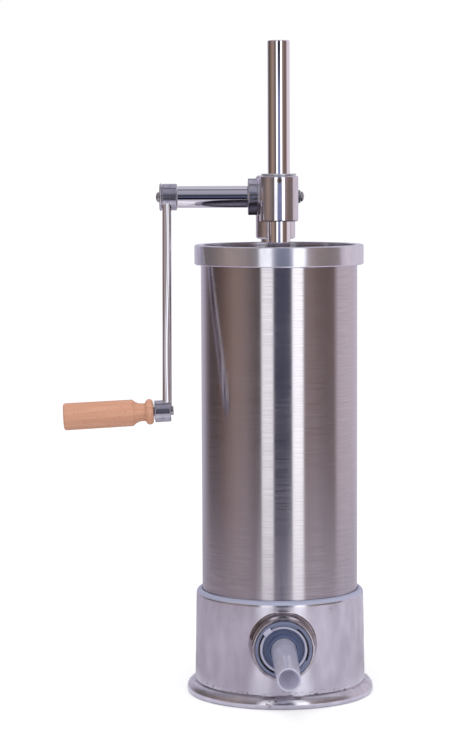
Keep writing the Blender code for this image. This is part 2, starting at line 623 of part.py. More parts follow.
def make_head():
    sleeve_top = arc((SLEEVE_R - SLEEVE_ROUND, HEAD_TOP - SLEEVE_ROUND),
                     (SLEEVE_ROUND, SLEEVE_ROUND), 90.0, 0.0, 2)
    sleeve_low = arc((SLEEVE_R - SLEEVE_ROUND, SLEEVE_Z + SLEEVE_ROUND),
                     (SLEEVE_ROUND, SLEEVE_ROUND), 0.0, -90.0, 2)
    sleeve = turned("sleeve", [(0.0, HEAD_TOP)] + sleeve_top + sleeve_low + [(0.0, SLEEVE_Z)],
                    MEDIUM_STEPS)
    socket_top = arc((SOCKET_R - SOCKET_ROUND, HEAD_TOP - SOCKET_ROUND),
                     (SOCKET_ROUND, SOCKET_ROUND), 90.0, 0.0, EDGE_STEPS)
    socket_low = arc((SOCKET_R - SOCKET_LOW_ROUND, SOCKET_Z + SOCKET_LOW_ROUND),
                     (SOCKET_LOW_ROUND, SOCKET_LOW_ROUND), 0.0, -90.0, EDGE_STEPS)
    socket = turned("socket", [(0.0, HEAD_TOP)] + socket_top + socket_low + [(0.0, SOCKET_Z)],
                    MEDIUM_STEPS)
    placed(socket, (0.0, COLUMN_Y, 0.0))
    boss = turned("gear_boss", [(0.0, GEAR_BOSS_RIGHT), (GEAR_BOSS_R - SLEEVE_ROUND, GEAR_BOSS_RIGHT),
                                (GEAR_BOSS_R, GEAR_BOSS_RIGHT - SLEEVE_ROUND),
                                (GEAR_BOSS_R, -GEAR_BOSS_LEFT), (0.0, -GEAR_BOSS_LEFT)],
                  MEDIUM_STEPS)
    placed(boss, (0.0, SHAFT_Y, SHAFT_Z), ALONG_X)
    web_top = HEAD_TOP - HEAD_WEB_BELOW_TOP
    web = block("web", (-HEAD_WEB_W / 2, SHAFT_Y, web_top - HEAD_WEB_H),
                (HEAD_WEB_W / 2, COLUMN_Y, web_top), HEAD_WEB_ROUND)
    way = ROD_R + RUN_GAP + SEAT_GAP
    seat = BUSH_R + SEAT_GAP
    lower_seat = SLEEVE_Z + LOWER_BUSH_INSET + LOWER_BUSH_L + SEAT_GAP
    upper_seat = HEAD_TOP - UPPER_BUSH_L
    rack_way = turned("rack_way", [(0.0, HEAD_TOP + OVERRUN), (seat, HEAD_TOP + OVERRUN),
                                   (seat, upper_seat), (way, upper_seat), (way, lower_seat),
                                   (seat, lower_seat), (seat, SLEEVE_Z - OVERRUN),
                                   (0.0, SLEEVE_Z - OVERRUN)], MEDIUM_STEPS)
    bearing = rod("bearing", SHAFT_END_R + RUN_GAP + SHAFT_BUSH_WALL + SEAT_GAP,
                  POCKET_RIGHT - OVERRUN, GEAR_BOSS_RIGHT + OVERRUN, MEDIUM_STEPS)
    placed(bearing, (0.0, SHAFT_Y, SHAFT_Z), ALONG_X)
    column_cut = placed(rod("column_cut", COLUMN_R + SEAT_GAP, SOCKET_Z - OVERRUN,
                            HEAD_TOP - SOCKET_CAP, MEDIUM_STEPS), (0.0, COLUMN_Y, 0.0))
    screw_cut = rod("screw_cut", SET_SCREW_R + SEAT_GAP, 0.0, SOCKET_R + OVERRUN, SMALL_STEPS)
    placed(screw_cut, (0.0, COLUMN_Y, HEAD_TOP - HEAD_SCREW_BELOW_TOP), TO_BACK)
    bush_screw_cut = rod("bush_screw_cut", BUSH_SCREW_R + SEAT_GAP, 0.0, SLEEVE_R + OVERRUN,
                         SMALL_STEPS)
    placed(bush_screw_cut, (0.0, 0.0, HEAD_TOP - BUSH_SCREW_BELOW_TOP), TO_FRONT)
    piece("head_casting", sleeve, "cast_aluminium", joined=[boss, web, socket],
          cuts=[rack_way, gear_pocket(), bearing, column_cut, screw_cut, bush_screw_cut])


def make_guide_bushes():
    bore = ROD_R + RUN_GAP
    flange_z = HEAD_TOP + SEAT_GAP
    upper = turned("upper", [(UPPER_BUSH_FLANGE_R, flange_z + UPPER_BUSH_FLANGE_T),
                             (UPPER_BUSH_FLANGE_R, flange_z), (BUSH_R, flange_z),
                             (BUSH_R, flange_z - UPPER_BUSH_L), (bore, flange_z - UPPER_BUSH_L),
                             (bore, flange_z + UPPER_BUSH_FLANGE_T)], MEDIUM_STEPS)
    piece("upper_guide_bush", upper, "plain_steel", cuts=[gear_pocket()])
    low = SLEEVE_Z + LOWER_BUSH_INSET
    lower = tube("lower", BUSH_R, bore, low, low + LOWER_BUSH_L, MEDIUM_STEPS)
    piece("lower_guide_bush", lower, "plain_steel")
    screw = set_screw("bush_set_screw", BUSH_SCREW_R, BUSH_R + SEAT_GAP,
                      SLEEVE_R - BUSH_SCREW_INSET, "brass", BUSH_SCREW_R / 2, BUSH_SCREW_R / 2)
    fit_set_screw("bush_set_screw", screw, (0.0, 0.0, HEAD_TOP - BUSH_SCREW_BELOW_TOP), TO_FRONT)


def make_bearings():
    spigot_r = POCKET_R - CAP_SPIGOT_CLEAR
    bush_r = JOURNAL_R + RUN_GAP + SHAFT_BUSH_WALL
    bore = bush_r + SEAT_GAP
    spigot_end = CAP_RIGHT_X + CAP_SPIGOT_L
    cap = turned("cap", [(spigot_r, spigot_end), (spigot_r, CAP_RIGHT_X),
                         (CAP_R - CAP_CHAMFER, CAP_RIGHT_X), (CAP_R, CAP_RIGHT_X - CAP_CHAMFER),
                         (CAP_R, CAP_LEFT_X + CAP_CHAMFER), (CAP_R - CAP_CHAMFER, CAP_LEFT_X),
                         (bore, CAP_LEFT_X), (bore, spigot_end)], MEDIUM_STEPS)
    placed(piece("bearing_cap", cap, "cast_aluminium"), (0.0, SHAFT_Y, SHAFT_Z), ALONG_X)
    left = tube("left", bush_r, JOURNAL_R + RUN_GAP, CAP_LEFT_X, spigot_end, MEDIUM_STEPS)
    placed(piece("left_shaft_bush", left, "bronze"), (0.0, SHAFT_Y, SHAFT_Z), ALONG_X)
    right = tube("right", SHAFT_END_R + RUN_GAP + SHAFT_BUSH_WALL, SHAFT_END_R + RUN_GAP,
                 POCKET_RIGHT + SEAT_GAP, GEAR_BOSS_RIGHT, MEDIUM_STEPS)
    placed(piece("right_shaft_bush", right, "bronze"), (0.0, SHAFT_Y, SHAFT_Z), ALONG_X)


# Pinion and rack

def involute(angle):
    return tan(angle) - angle


def pinion_outline():
    """Teeth with involute flanks, the first gap's middle on the -Y side."""
    base_r = PITCH_R * cos(PRESSURE_ANGLE)
    half_at_pitch = (pi * MODULE / 2 - BACKLASH / 2) / (2 * PITCH_R)
    flank = [(PINION_ROOT_R, half_at_pitch + involute(PRESSURE_ANGLE))]
    for i in range(FLANK_STEPS + 1):
        radius = base_r + (PINION_TIP_R - base_r) * i / FLANK_STEPS
        half = half_at_pitch + involute(PRESSURE_ANGLE) - involute(acos(base_r / radius))
        flank.append((radius, half))
    points = []
    for tooth in range(PINION_TEETH):
        middle = -pi / 2 + (tooth + 0.5) * 2 * pi / PINION_TEETH
        sides = [(radius, middle - half) for radius, half in flank]
        sides += [(radius, middle + half) for radius, half in reversed(flank)]
        points += [(radius * cos(angle), radius * sin(angle)) for radius, angle in sides]
    return points


def rack_comb():
    """The space round the rack's teeth, as a comb that cuts them into the back of the rod."""
    pitch = pi * MODULE
    slope = tan(PRESSURE_ANGLE)
    root_y = PITCH_LINE_Y - RACK_DEDENDUM_SHARE * MODULE
    gap_at_pitch = pitch / 2 + BACKLASH / 2
    half_tip = gap_at_pitch / 2 + (RACK_TIP_Y - PITCH_LINE_Y) * slope
    half_root = gap_at_pitch / 2 - (PITCH_LINE_Y - root_y) * slope
    engaged = sqrt(PINION_TIP_R ** 2 - (PITCH_R - RACK_ADDENDUM_SHARE * MODULE) ** 2)
    above = int((TRAVEL_DOWN + engaged) / pitch) + 1
    below = int((TRAVEL_UP + engaged) / pitch) + 1
    outline = []
    for tooth in range(-below, above):
        # at rest a tooth of the rack stands opposite the pinion's gap, so a gap lies half a pitch on
        middle = SHAFT_Z + (tooth + 0.5) * pitch
        outline += [(RACK_TIP_Y, middle - half_tip), (root_y, middle - half_root),
                    (root_y, middle + half_root), (RACK_TIP_Y, middle + half_tip)]
    first = outline[0][1]
    last = outline[-1][1]
    outside = ROD_R + OVERRUN
    outline += [(outside, last + ROD_R - RACK_TIP_Y), (outside, first - ROD_R + RACK_TIP_Y)]
    comb = slab("comb", [outline], 2 * outside)
    # the outline's first axis is the rod's +Y and its second is +Z
    return placed(comb, rotation=(pi / 2, 0.0, pi / 2))


def make_rack():
    stud_end = PISTON_Z + PISTON_T - PISTON_WEB - PISTON_WASHER_T - PISTON_NUT_T
    stud_end -= 3 * SEAT_GAP + STUD_TAIL
    body = turned("rod", [(0.0, ROD_TOP), (ROD_R - ROD_CHAMFER, ROD_TOP),
                          (ROD_R, ROD_TOP - ROD_CHAMFER), (ROD_R, ROD_Z), (STUD_R, ROD_Z),
                          (STUD_R, stud_end), (0.0, stud_end)], MEDIUM_STEPS)
    piece("rack_rod", body, "chrome", cuts=[rack_comb()], parent=RACK)


def make_pinion():
    key_low = JOURNAL_R - KEY_SIZE / 2
    key_high = key_low + KEY_SIZE
    body = slab("pinion", [pinion_outline()], PINION_WIDTH)
    bore = rod("bore", JOURNAL_R + SEAT_GAP, -PINION_WIDTH, PINION_WIDTH, SMALL_STEPS)
    half_way = KEY_SIZE / 2 + SEAT_GAP
    keyway = block("keyway", (-half_way, 0.0, -PINION_WIDTH),
                   (half_way, key_high + SEAT_GAP, PINION_WIDTH))
    pinion = piece("drive_pinion", body, "plain_steel", cuts=[bore, keyway], parent=PINION_FRAME)
    placed(pinion, rotation=ALONG_X)
    key = block("key", (-KEY_SIZE / 2, key_low, -KEY_LENGTH / 2),
                (KEY_SIZE / 2, key_high, KEY_LENGTH / 2))
    placed(piece("pinion_key", key, "plain_steel", parent=PINION_FRAME), rotation=ALONG_X)


# Crank shaft, crank arm and their screws

def make_shaft():
    left = HUB_RIGHT_X + SEAT_GAP
    square_end = HUB_RIGHT_X - SHAFT_SQUARE_L
    step_x = POCKET_RIGHT - RUN_GAP
    body = turned("shaft", [(0.0, SHAFT_RIGHT_X), (SHAFT_END_R, SHAFT_RIGHT_X),
                            (SHAFT_END_R, step_x), (JOURNAL_R, step_x),
                            (JOURNAL_R, SHAFT_SHOULDER_X), (SHAFT_R, SHAFT_SHOULDER_X),
                            (SHAFT_R, left), (0.0, left)], MEDIUM_STEPS)
    half = SHAFT_SQUARE / 2
    square = block("square", (-half, -half, square_end), (half, half, left + SHAFT_R))
    right_hole = rod("right_hole", END_SCREW_R + SEAT_GAP,
                     SHAFT_RIGHT_X - END_SCREW_L - SEAT_GAP, SHAFT_RIGHT_X + OVERRUN, SMALL_STEPS)
    left_hole = rod("left_hole", CRANK_SCREW_R + SEAT_GAP, square_end - OVERRUN,
                    HUB_LEFT_X + CRANK_SCREW_L + SEAT_GAP, SMALL_STEPS)
    key_low = JOURNAL_R - KEY_SIZE / 2
    half_key = KEY_SIZE / 2 + SEAT_GAP
    half_length = KEY_LENGTH / 2 + SEAT_GAP
    key_seat = block("key_seat", (-half_key, key_low - SEAT_GAP, -half_length),
                     (half_key, JOURNAL_R + OVERRUN, half_length))
    # the key stands with the pinion, which doesn't share the arm's lean
    placed(key_seat, rotation=(0.0, 0.0, CRANK_LEAN))
    shaft = piece("crank_shaft", body, "chrome", joined=[square],
                  cuts=[right_hole, left_hole, key_seat], parent=CRANK)
    placed(shaft, rotation=ALONG_X)


def domed_screw(name, head_r, head_h, shank_r, shank_l, seat):
    """A screw along +Z whose head's flat underside is at the seat."""
    dome_h = head_h * DOME_SHARE
    dome = arc((0.0, seat + head_h - dome_h), (head_r, dome_h), 90.0, 0.0, EDGE_STEPS)
    outline = dome + [(head_r, seat), (shank_r, seat), (shank_r, seat - shank_l),
                      (0.0, seat - shank_l)]
    outline[0] = (0.0, outline[0][1])
    return turned(name, outline, SMALL_STEPS)


def make_shaft_ends():
    washer_x = GEAR_BOSS_RIGHT + SHAFT_PAST_HEAD + SEAT_GAP
    hole = END_SCREW_R + SEAT_GAP
    washer = tube("washer", END_WASHER_R, hole, washer_x, washer_x + END_WASHER_T, SMALL_STEPS)
    placed(piece("shaft_end_washer", washer, "plain_steel", parent=CRANK), rotation=ALONG_X)
    seat = washer_x + END_WASHER_T + SEAT_GAP
    screw = domed_screw("screw", END_SCREW_HEAD_R, END_SCREW_HEAD_H, END_SCREW_R,
                        END_SCREW_L + END_WASHER_T, seat)
    placed(piece("shaft_end_screw", screw, "plain_steel", parent=CRANK), rotation=ALONG_X)
    disc_low = -HUB_LEFT_X + SEAT_GAP
    disc = tube("disc", CRANK_DISC_R, CRANK_SCREW_R + SEAT_GAP, disc_low,
                disc_low + CRANK_DISC_T, MEDIUM_STEPS)
    placed(piece("crank_end_disc", disc, "cast_aluminium", parent=CRANK), rotation=ALONG_LEFT)
    crank_screw = domed_screw("crank_screw", CRANK_SCREW_HEAD_R, CRANK_SCREW_HEAD_H,
                              CRANK_SCREW_R, CRANK_SCREW_L, disc_low + CRANK_DISC_T + SEAT_GAP)
    placed(piece("crank_end_screw", crank_screw, "plain_steel", parent=CRANK),
           rotation=ALONG_LEFT)


def make_arm():
    hub = turned("hub", [(0.0, -HUB_LEFT_X), (HUB_R - HUB_ROUND, -HUB_LEFT_X),
                         (HUB_R, -HUB_LEFT_X - HUB_ROUND), (HUB_R, -HUB_RIGHT_X + HUB_ROUND),
                         (HUB_R - HUB_ROUND, -HUB_RIGHT_X), (0.0, -HUB_RIGHT_X)], MEDIUM_STEPS)
    placed(hub, rotation=ALONG_LEFT)
    bar = block("bar", (ARM_X - ARM_T / 2, -ARM_W / 2, -CRANK_LENGTH),
                (ARM_X + ARM_T / 2, ARM_W / 2, 0.0), ARM_ROUND)
    half_hub = GRIP_HUB_L / 2
    grip_hub = turned("grip_hub", [(0.0, half_hub), (GRIP_HUB_R - HUB_ROUND, half_hub),
                                   (GRIP_HUB_R, half_hub - HUB_ROUND),
                                   (GRIP_HUB_R, HUB_ROUND - half_hub),
                                   (GRIP_HUB_R - HUB_ROUND, -half_hub), (0.0, -half_hub)],
                      MEDIUM_STEPS)
    tilt = (0.0, -pi / 2 - GRIP_DROOP, 0.0)
    placed(grip_hub, (GRIP_HUB_X, 0.0, -CRANK_LENGTH), tilt)
    bolt_way = rod("bolt_way", BOLT_R + SEAT_GAP, -GRIP_HUB_L, GRIP_HUB_L, SMALL_STEPS)
    placed(bolt_way, (GRIP_HUB_X, 0.0, -CRANK_LENGTH), tilt)
    half_square = SHAFT_SQUARE / 2 + SEAT_GAP
    square = block("square", (HUB_LEFT_X - OVERRUN, -half_square, -half_square),
                   (HUB_RIGHT_X + OVERRUN, half_square, half_square))
    piece("crank_arm", bar, "chrome", joined=[hub, grip_hub], cuts=[square, bolt_way],
          parent=CRANK)


# Grip

def make_grip():
    start = GRIP_HUB_L / 2 + SEAT_GAP
    washer = tube("washer", GRIP_WASHER_R, BOLT_R + SEAT_GAP, start, start + GRIP_WASHER_T,
                  SMALL_STEPS)
    piece("grip_washer", washer, "plain_steel", parent=BOLT_AXIS)
    low = start + GRIP_WASHER_T + SEAT_GAP
    high = low + GRIP_LENGTH
    head_seat = high - BOLT_HEAD_INSET - BOLT_HEAD_T - RUN_GAP
    bolt = turned("bolt", [(0.0, high - BOLT_HEAD_INSET), (BOLT_HEAD_R, high - BOLT_HEAD_INSET),
                           (BOLT_HEAD_R, head_seat + RUN_GAP), (BOLT_R, head_seat + RUN_GAP),
                           (BOLT_R, -GRIP_HUB_L / 2 - BOLT_TAIL),
                           (0.0, -GRIP_HUB_L / 2 - BOLT_TAIL)], SMALL_STEPS)
    piece("grip_bolt", bolt, "plain_steel", parent=BOLT_AXIS)
    bead = GRIP_BEAD_SHARE * GRIP_LENGTH
    groove = GRIP_GROOVE_SHARE * GRIP_LENGTH
    waist = GRIP_WAIST_SHARE * GRIP_LENGTH
    bore = BOLT_R + RUN_GAP
    counterbore = BOLT_HEAD_R + RUN_GAP
    outline = arc((GRIP_END_R - GRIP_END_ROUND, high - GRIP_END_ROUND),
                  (GRIP_END_ROUND, GRIP_END_ROUND), 90.0, 0.0, EDGE_STEPS)
    outline += arc((GRIP_NECK_R + GRIP_NECK_SWEEP, low + waist), (GRIP_NECK_SWEEP, GRIP_NECK_SWEEP),
                   180.0 - GRIP_SWEEP_TURN, 180.0, EDGE_STEPS)
    outline += [(GRIP_NECK_R, low + groove)]
    outline += arc((GRIP_BEAD_R - bead / 2, low + bead / 2), (bead / 2, bead / 2),
                   GRIP_BEAD_ARC, -GRIP_BEAD_ARC, EDGE_STEPS)
    outline += [(bore, low), (bore, head_seat), (counterbore, head_seat), (counterbore, high)]
    piece("grip", turned("wood", outline, MEDIUM_STEPS), "beech", parent=GRIP)


# Piston

def make_piston():
    plate_r = TANK_R - TANK_WALL - PISTON_PLATE_CLEAR
    groove_r = plate_r - PISTON_GROOVE_DEPTH
    middle = PISTON_Z + PISTON_T / 2
    groove_low = middle - PISTON_GROOVE / 2
    groove_high = middle + PISTON_GROOVE / 2
    recess_top = PISTON_TOP - PISTON_WEB
    hole = STUD_R + SEAT_GAP
    outline = [(plate_r - PISTON_ROUND, PISTON_TOP), (plate_r, PISTON_TOP - PISTON_ROUND),
               (plate_r, groove_high), (groove_r, groove_high), (groove_r, groove_low),
               (plate_r, groove_low), (plate_r, PISTON_Z + PISTON_ROUND),
               (plate_r - PISTON_ROUND, PISTON_Z), (PISTON_RECESS_R, PISTON_Z),
               (PISTON_RECESS_R, recess_top), (hole, recess_top), (hole, PISTON_TOP)]
    valve_way = rod("valve_way", VALVE_R + SEAT_GAP, PISTON_Z - OVERRUN, PISTON_TOP + OVERRUN,
                    SMALL_STEPS)
    placed(valve_way, (VALVE_FROM_AXIS, 0.0, 0.0))
    piece("piston_plate", turned("plate", outline, LARGE_STEPS), "cast_aluminium",
          cuts=[valve_way], parent=RACK)
    gasket_r = TANK_R - TANK_WALL - RUN_GAP
    gasket = turned("gasket", [(gasket_r - GASKET_RELIEF, groove_high - SEAT_GAP),
                               (gasket_r, middle + GASKET_RELIEF),
                               (gasket_r, middle - GASKET_RELIEF),
                               (gasket_r - GASKET_RELIEF, groove_low + SEAT_GAP),
                               (groove_r + SEAT_GAP, groove_low + SEAT_GAP),
                               (groove_r + SEAT_GAP, groove_high - SEAT_GAP)], LARGE_STEPS)
    piece("piston_gasket", gasket, "rubber", parent=RACK)
    washer_top = recess_top - SEAT_GAP
    washer = tube("washer", PISTON_WASHER_R, hole, washer_top - PISTON_WASHER_T, washer_top,
                  SMALL_STEPS)
    piece("piston_washer", washer, "plain_steel", parent=RACK)
    nut_top = washer_top - PISTON_WASHER_T - SEAT_GAP
    nut = slab("nut", [ring_points(PISTON_NUT_R, 6), ring_points(hole, SMALL_STEPS)],
               PISTON_NUT_T)
    placed(piece("piston_nut", nut, "plain_steel", parent=RACK),
           (0.0, 0.0, nut_top - PISTON_NUT_T / 2))
    head_low = PISTON_TOP + SEAT_GAP
    valve = turned("valve", [(VALVE_HEAD_R, head_low + VALVE_HEAD_T), (VALVE_HEAD_R, head_low),
                             (VALVE_R, head_low), (VALVE_R, PISTON_Z), (VALVE_BORE_R, PISTON_Z),
                             (VALVE_BORE_R, head_low + VALVE_HEAD_T)], SMALL_STEPS)
    placed(piece("air_valve", valve, "nylon", parent=RACK), (VALVE_FROM_AXIS, 0.0, 0.0))


# Nozzle

def sector(inner, outer, middle, span, steps):
    """A piece of a flat ring, centred on an angle."""
    start = middle - span / 2
    turns = [start + span * i / steps for i in range(steps + 1)]
    points = [(outer * cos(turn), outer * sin(turn)) for turn in turns]
    points += [(inner * cos(turn), inner * sin(turn)) for turn in reversed(turns)]
    return points


def make_nozzle():
    ring_r = OUTLET_BOSS_R - OUTLET_LIP - SEAT_GAP
    gasket = tube("gasket", ring_r, ring_r - NOZZLE_GASKET_W, OUTLET_SEAT_Y + SEAT_GAP,
                  GASKET_FRONT_Y, MEDIUM_STEPS)
    at_outlet = (0.0, 0.0, OUTLET_Z)
    placed(piece("nozzle_gasket", gasket, "rubber"), at_outlet, TO_FRONT)

    ring = turned("ring", [(ring_r - LOCK_ROUND, LOCK_FRONT_Y), (ring_r, LOCK_FRONT_Y - LOCK_ROUND),
                           (ring_r, LOCK_BACK_Y), (LOCK_RING_INNER_R, LOCK_BACK_Y),
                           (LOCK_RING_INNER_R, LOCK_FRONT_Y)], LARGE_STEPS)
    lip_inner = HOLDER_R + RUN_GAP
    lip_outer = (LOCK_RING_INNER_R + ring_r) / 2
    lip_middle = (LOCK_LIP_BACK_Y + LOCK_FRONT_Y - LOCK_ROUND) / 2
    lips = []
    for side in (1, -1):
        lip = slab("lip", [sector(lip_inner, lip_outer, side * pi / 2, LOCK_LIP_SPAN, 10)],
                   LOCK_FRONT_Y - LOCK_ROUND - LOCK_LIP_BACK_Y)
        lips.append(placed(lip, (0.0, 0.0, lip_middle)))
    lock_ring = piece("outlet_lock_ring", ring, "blue_grey_plastic", joined=lips)
    placed(lock_ring, at_outlet, TO_FRONT)

    recess_y = HOLDER_FRONT_Y - HOLDER_RECESS
    tube_way = TUBE_ROOT_R + SEAT_GAP
    collar_r = tube_way + HOLDER_COLLAR_WALL
    collar_y = HOLDER_FRONT_Y + HOLDER_COLLAR_PROUD
    holder = turned("holder", [(HOLDER_R, HOLDER_FRONT_Y), (HOLDER_R, HOLDER_BACK_Y),
                               (tube_way, HOLDER_BACK_Y), (tube_way, collar_y), (collar_r, collar_y),
                               (collar_r, recess_y + HOLDER_COLLAR_ROUND),
                               (collar_r + HOLDER_COLLAR_ROUND, recess_y),
                               (HOLDER_R - HOLDER_RIM, recess_y),
                               (HOLDER_R - HOLDER_RIM, HOLDER_FRONT_Y)], LARGE_STEPS)
    tabs = []
    for side in (1, -1):
        tab = slab("tab", [sector(HOLDER_R - HOLDER_RIM / 2, HOLDER_TAB_R, side * pi / 2,
                                  HOLDER_TAB_SPAN, 8)], HOLDER_TAB_T)
        tab_y = LOCK_LIP_BACK_Y - RUN_GAP - HOLDER_TAB_T / 2
        tabs.append(placed(tab, (0.0, 0.0, tab_y)))
    lug_low = LOCK_FRONT_Y + RUN_GAP
    lug_high = lug_low + HOLDER_LUG_T
    riser = slab("riser", [sector(HOLDER_R - HOLDER_RIM / 2, HOLDER_R, HOLDER_LUG_TURN,
                                  HOLDER_LUG_SPAN, 4)], lug_high - recess_y)
    tabs.append(placed(riser, (0.0, 0.0, (lug_high + recess_y) / 2)))
    lug = slab("lug", [sector(HOLDER_R - HOLDER_RIM / 3, HOLDER_LUG_R, HOLDER_LUG_TURN,
                              HOLDER_LUG_SPAN, 4)], HOLDER_LUG_T)
    tabs.append(placed(lug, (0.0, 0.0, (lug_low + lug_high) / 2)))
    made = piece("nozzle_holder", holder, "blue_grey_plastic", joined=tabs, parent=NOZZLE)
    placed(made, rotation=TO_FRONT)

    flange_back = LOCK_BACK_Y
    tip = TUBE_TIP_Y
    tip_round = TUBE_WALL / 3
    spout = turned("spout", [(TUBE_TIP_R - tip_round, tip), (TUBE_TIP_R, tip - tip_round),
                             (TUBE_ROOT_R, TUBE_FLANGE_FRONT_Y),
                             (TUBE_FLANGE_R, TUBE_FLANGE_FRONT_Y), (TUBE_FLANGE_R, flange_back),
                             (TUBE_ROOT_R - TUBE_WALL, flange_back),
                             (TUBE_TIP_R - TUBE_WALL, tip)], MEDIUM_STEPS)
    placed(piece("filling_tube", spout, "clear_plastic", parent=NOZZLE), rotation=TO_FRONT)


def centre_on_floor():
    """Set the frame so that the middle of the whole part's floor area is the world's origin."""
    bpy.context.view_layer.update()
    corners = [thing.matrix_world @ vertex.co for thing in PARTS.objects if thing.data
               for vertex in thing.data.vertices]
    for axis in (0, 1):
        places = [corner[axis] for corner in corners]
        STUFFER.location[axis] = -(min(places) + max(places)) / 2
    bpy.context.view_layer.update()


def report_axes():
    for thing in (STUFFER, CRANK, GRIP, NOZZLE):
        place = ", ".join(f"{value:.6f}" for value in thing.matrix_world.translation)
        print(f"axis of {thing.name}: {place}")
    along = GRIP.matrix_world.to_3x3() @ Vector((0.0, 0.0, 1.0))
    print("grip points along: " + ", ".join(f"{value:.6f}" for value in along))
    print(f"pitch radius {PITCH_R:.6f}, down {TRAVEL_DOWN:.6f}, up {TRAVEL_UP:.6f}, crank from "
          f"{-degrees(TRAVEL_UP / PITCH_R):.2f} to {degrees(TRAVEL_DOWN / PITCH_R):.2f} degrees")


clear_scene()
PARTS = collection("sausage_stuffer")
CUTTERS = collection("cutters")
STUFFER = empty("stuffer_frame", (0.0, 0.0, 0.0))
RACK = empty("rack_frame", (0.0, 0.0, 0.0), parent=STUFFER)
CRANK = empty("crank_axis", (0.0, SHAFT_Y, SHAFT_Z), (-CRANK_LEAN, 0.0, 0.0), STUFFER)
# undoes the crank's lean, so that the pinion meshes with the rack at rest
PINION_FRAME = empty("pinion_frame", (0.0, 0.0, 0.0), (CRANK_LEAN, 0.0, 0.0), CRANK)
BOLT_AXIS = empty("bolt_axis", (GRIP_HUB_X, 0.0, -CRANK_LENGTH),
                  (0.0, -pi / 2 - GRIP_DROOP, 0.0), CRANK)
GRIP = empty("grip_axis", (0.0, 0.0, 0.0), parent=BOLT_AXIS)
NOZZLE = empty("nozzle_axis", (0.0, 0.0, OUTLET_Z), parent=STUFFER)

make_base()
make_tank()
make_column()
make_head()
make_guide_bushes()
make_bearings()
make_rack()
make_shaft()
make_pinion()
make_shaft_ends()
make_arm()
make_grip()
make_piston()
make_nozzle()
centre_on_floor()
report_axes()
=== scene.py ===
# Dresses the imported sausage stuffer: smooth metal, plastic and wood pieces over its CAD nodes,
# a plain studio, and a camera at the photograph's angle. Sizes are in millimetres, measured
# from the point on the floor under the tank's axis: x to the right, y to the back, z up.
import json
from functools import partial
from math import atan2, cos, pi, radians, sin, sqrt, tan
import bmesh
import bpy
from mathutils import Matrix, Vector


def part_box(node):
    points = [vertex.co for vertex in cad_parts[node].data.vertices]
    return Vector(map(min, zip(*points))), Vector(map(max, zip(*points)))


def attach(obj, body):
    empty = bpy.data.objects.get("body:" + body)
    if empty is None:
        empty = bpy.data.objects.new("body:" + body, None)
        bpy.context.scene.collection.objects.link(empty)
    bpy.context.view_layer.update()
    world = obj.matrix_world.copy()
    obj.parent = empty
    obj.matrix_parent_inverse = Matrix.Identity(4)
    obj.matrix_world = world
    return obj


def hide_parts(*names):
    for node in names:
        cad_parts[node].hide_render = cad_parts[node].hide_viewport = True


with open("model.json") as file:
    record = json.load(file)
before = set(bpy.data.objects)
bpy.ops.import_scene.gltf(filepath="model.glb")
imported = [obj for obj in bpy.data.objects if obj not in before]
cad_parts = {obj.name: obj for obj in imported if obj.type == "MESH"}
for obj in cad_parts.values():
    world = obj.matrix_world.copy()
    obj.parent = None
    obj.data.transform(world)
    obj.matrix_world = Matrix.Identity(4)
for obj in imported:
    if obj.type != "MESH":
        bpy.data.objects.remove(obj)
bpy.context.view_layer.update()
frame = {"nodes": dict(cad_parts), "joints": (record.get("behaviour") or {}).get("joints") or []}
mm = 0.001
weldGap = 0.002 * mm
scene = bpy.context.scene

tankLow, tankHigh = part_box("tank_cylinder")
tankFoot = Vector(((tankLow.x + tankHigh.x) / 2, (tankLow.y + tankHigh.y) / 2, 0.0))
joints = {joint["name"]: joint for joint in frame["joints"]}
crankPlace = Vector(joints["crank_turn"]["pos_m"])
gripPlace = Vector(joints["grip_spin"]["pos_m"])
gripAlong = Vector(joints["grip_spin"]["axis"]).normalized()
armLean = atan2(crankPlace.y - gripPlace.y, crankPlace.z - gripPlace.z)
print("frame loaded,", len(frame["nodes"]), "nodes")


# Frames that pieces are turned in: their own +Z is the axis of the piece

def towards(place, direction):
    return Matrix.Translation(place) @ direction.to_track_quat('Z', 'Y').to_matrix().to_4x4()


def upAt(x, y):
    return Matrix.Translation(tankFoot + Vector((x, y, 0.0)) * mm)


def lifted(z):
    return Matrix.Translation((0.0, 0.0, z * mm))


def quarterTurn(axis, way=1):
    return Matrix.Rotation(way * pi / 2, 4, axis)


outletHeight = 57.0
uprightFrame = upAt(0.0, 0.0)
outletFrame = uprightFrame @ lifted(outletHeight) @ quarterTurn('X')
shaftFrame = Matrix.Translation(crankPlace) @ quarterTurn('Y')
leanFrame = Matrix.Translation(crankPlace) @ Matrix.Rotation(-armLean, 4, 'X')
crankFrame = leanFrame @ quarterTurn('Y')
leftFrame = leanFrame @ quarterTurn('Y', -1)
gripFrame = towards(gripPlace, gripAlong)


# Shapes

def arcPoints(centre, radii, start, end, steps):
    turns = [radians(start + (end - start) * step / steps) for step in range(steps + 1)]
    return [(centre[0] + radii[0] * cos(turn), centre[1] + radii[1] * sin(turn)) for turn in turns]


def filleted(corners, closed, steps):
    # a corner is (across, along) or (across, along, radius), and the radius rounds it off
    points = []
    for i, corner in enumerate(corners):
        here = Vector(corner[:2])
        if len(corner) == 2 or (not closed and i in (0, len(corners) - 1)):
            points.append(here)
            continue
        before = (Vector(corners[i - 1][:2]) - here).normalized()
        after = (Vector(corners[(i + 1) % len(corners)][:2]) - here).normalized()
        half = before.angle(after) / 2
        middle = here + (before + after).normalized() * corner[2] / sin(half)
        start = here + before * corner[2] / tan(half) - middle
        end = here + after * corner[2] / tan(half) - middle
        points += [middle + start.slerp(end, step / steps) * corner[2] for step in range(steps + 1)]
    return points


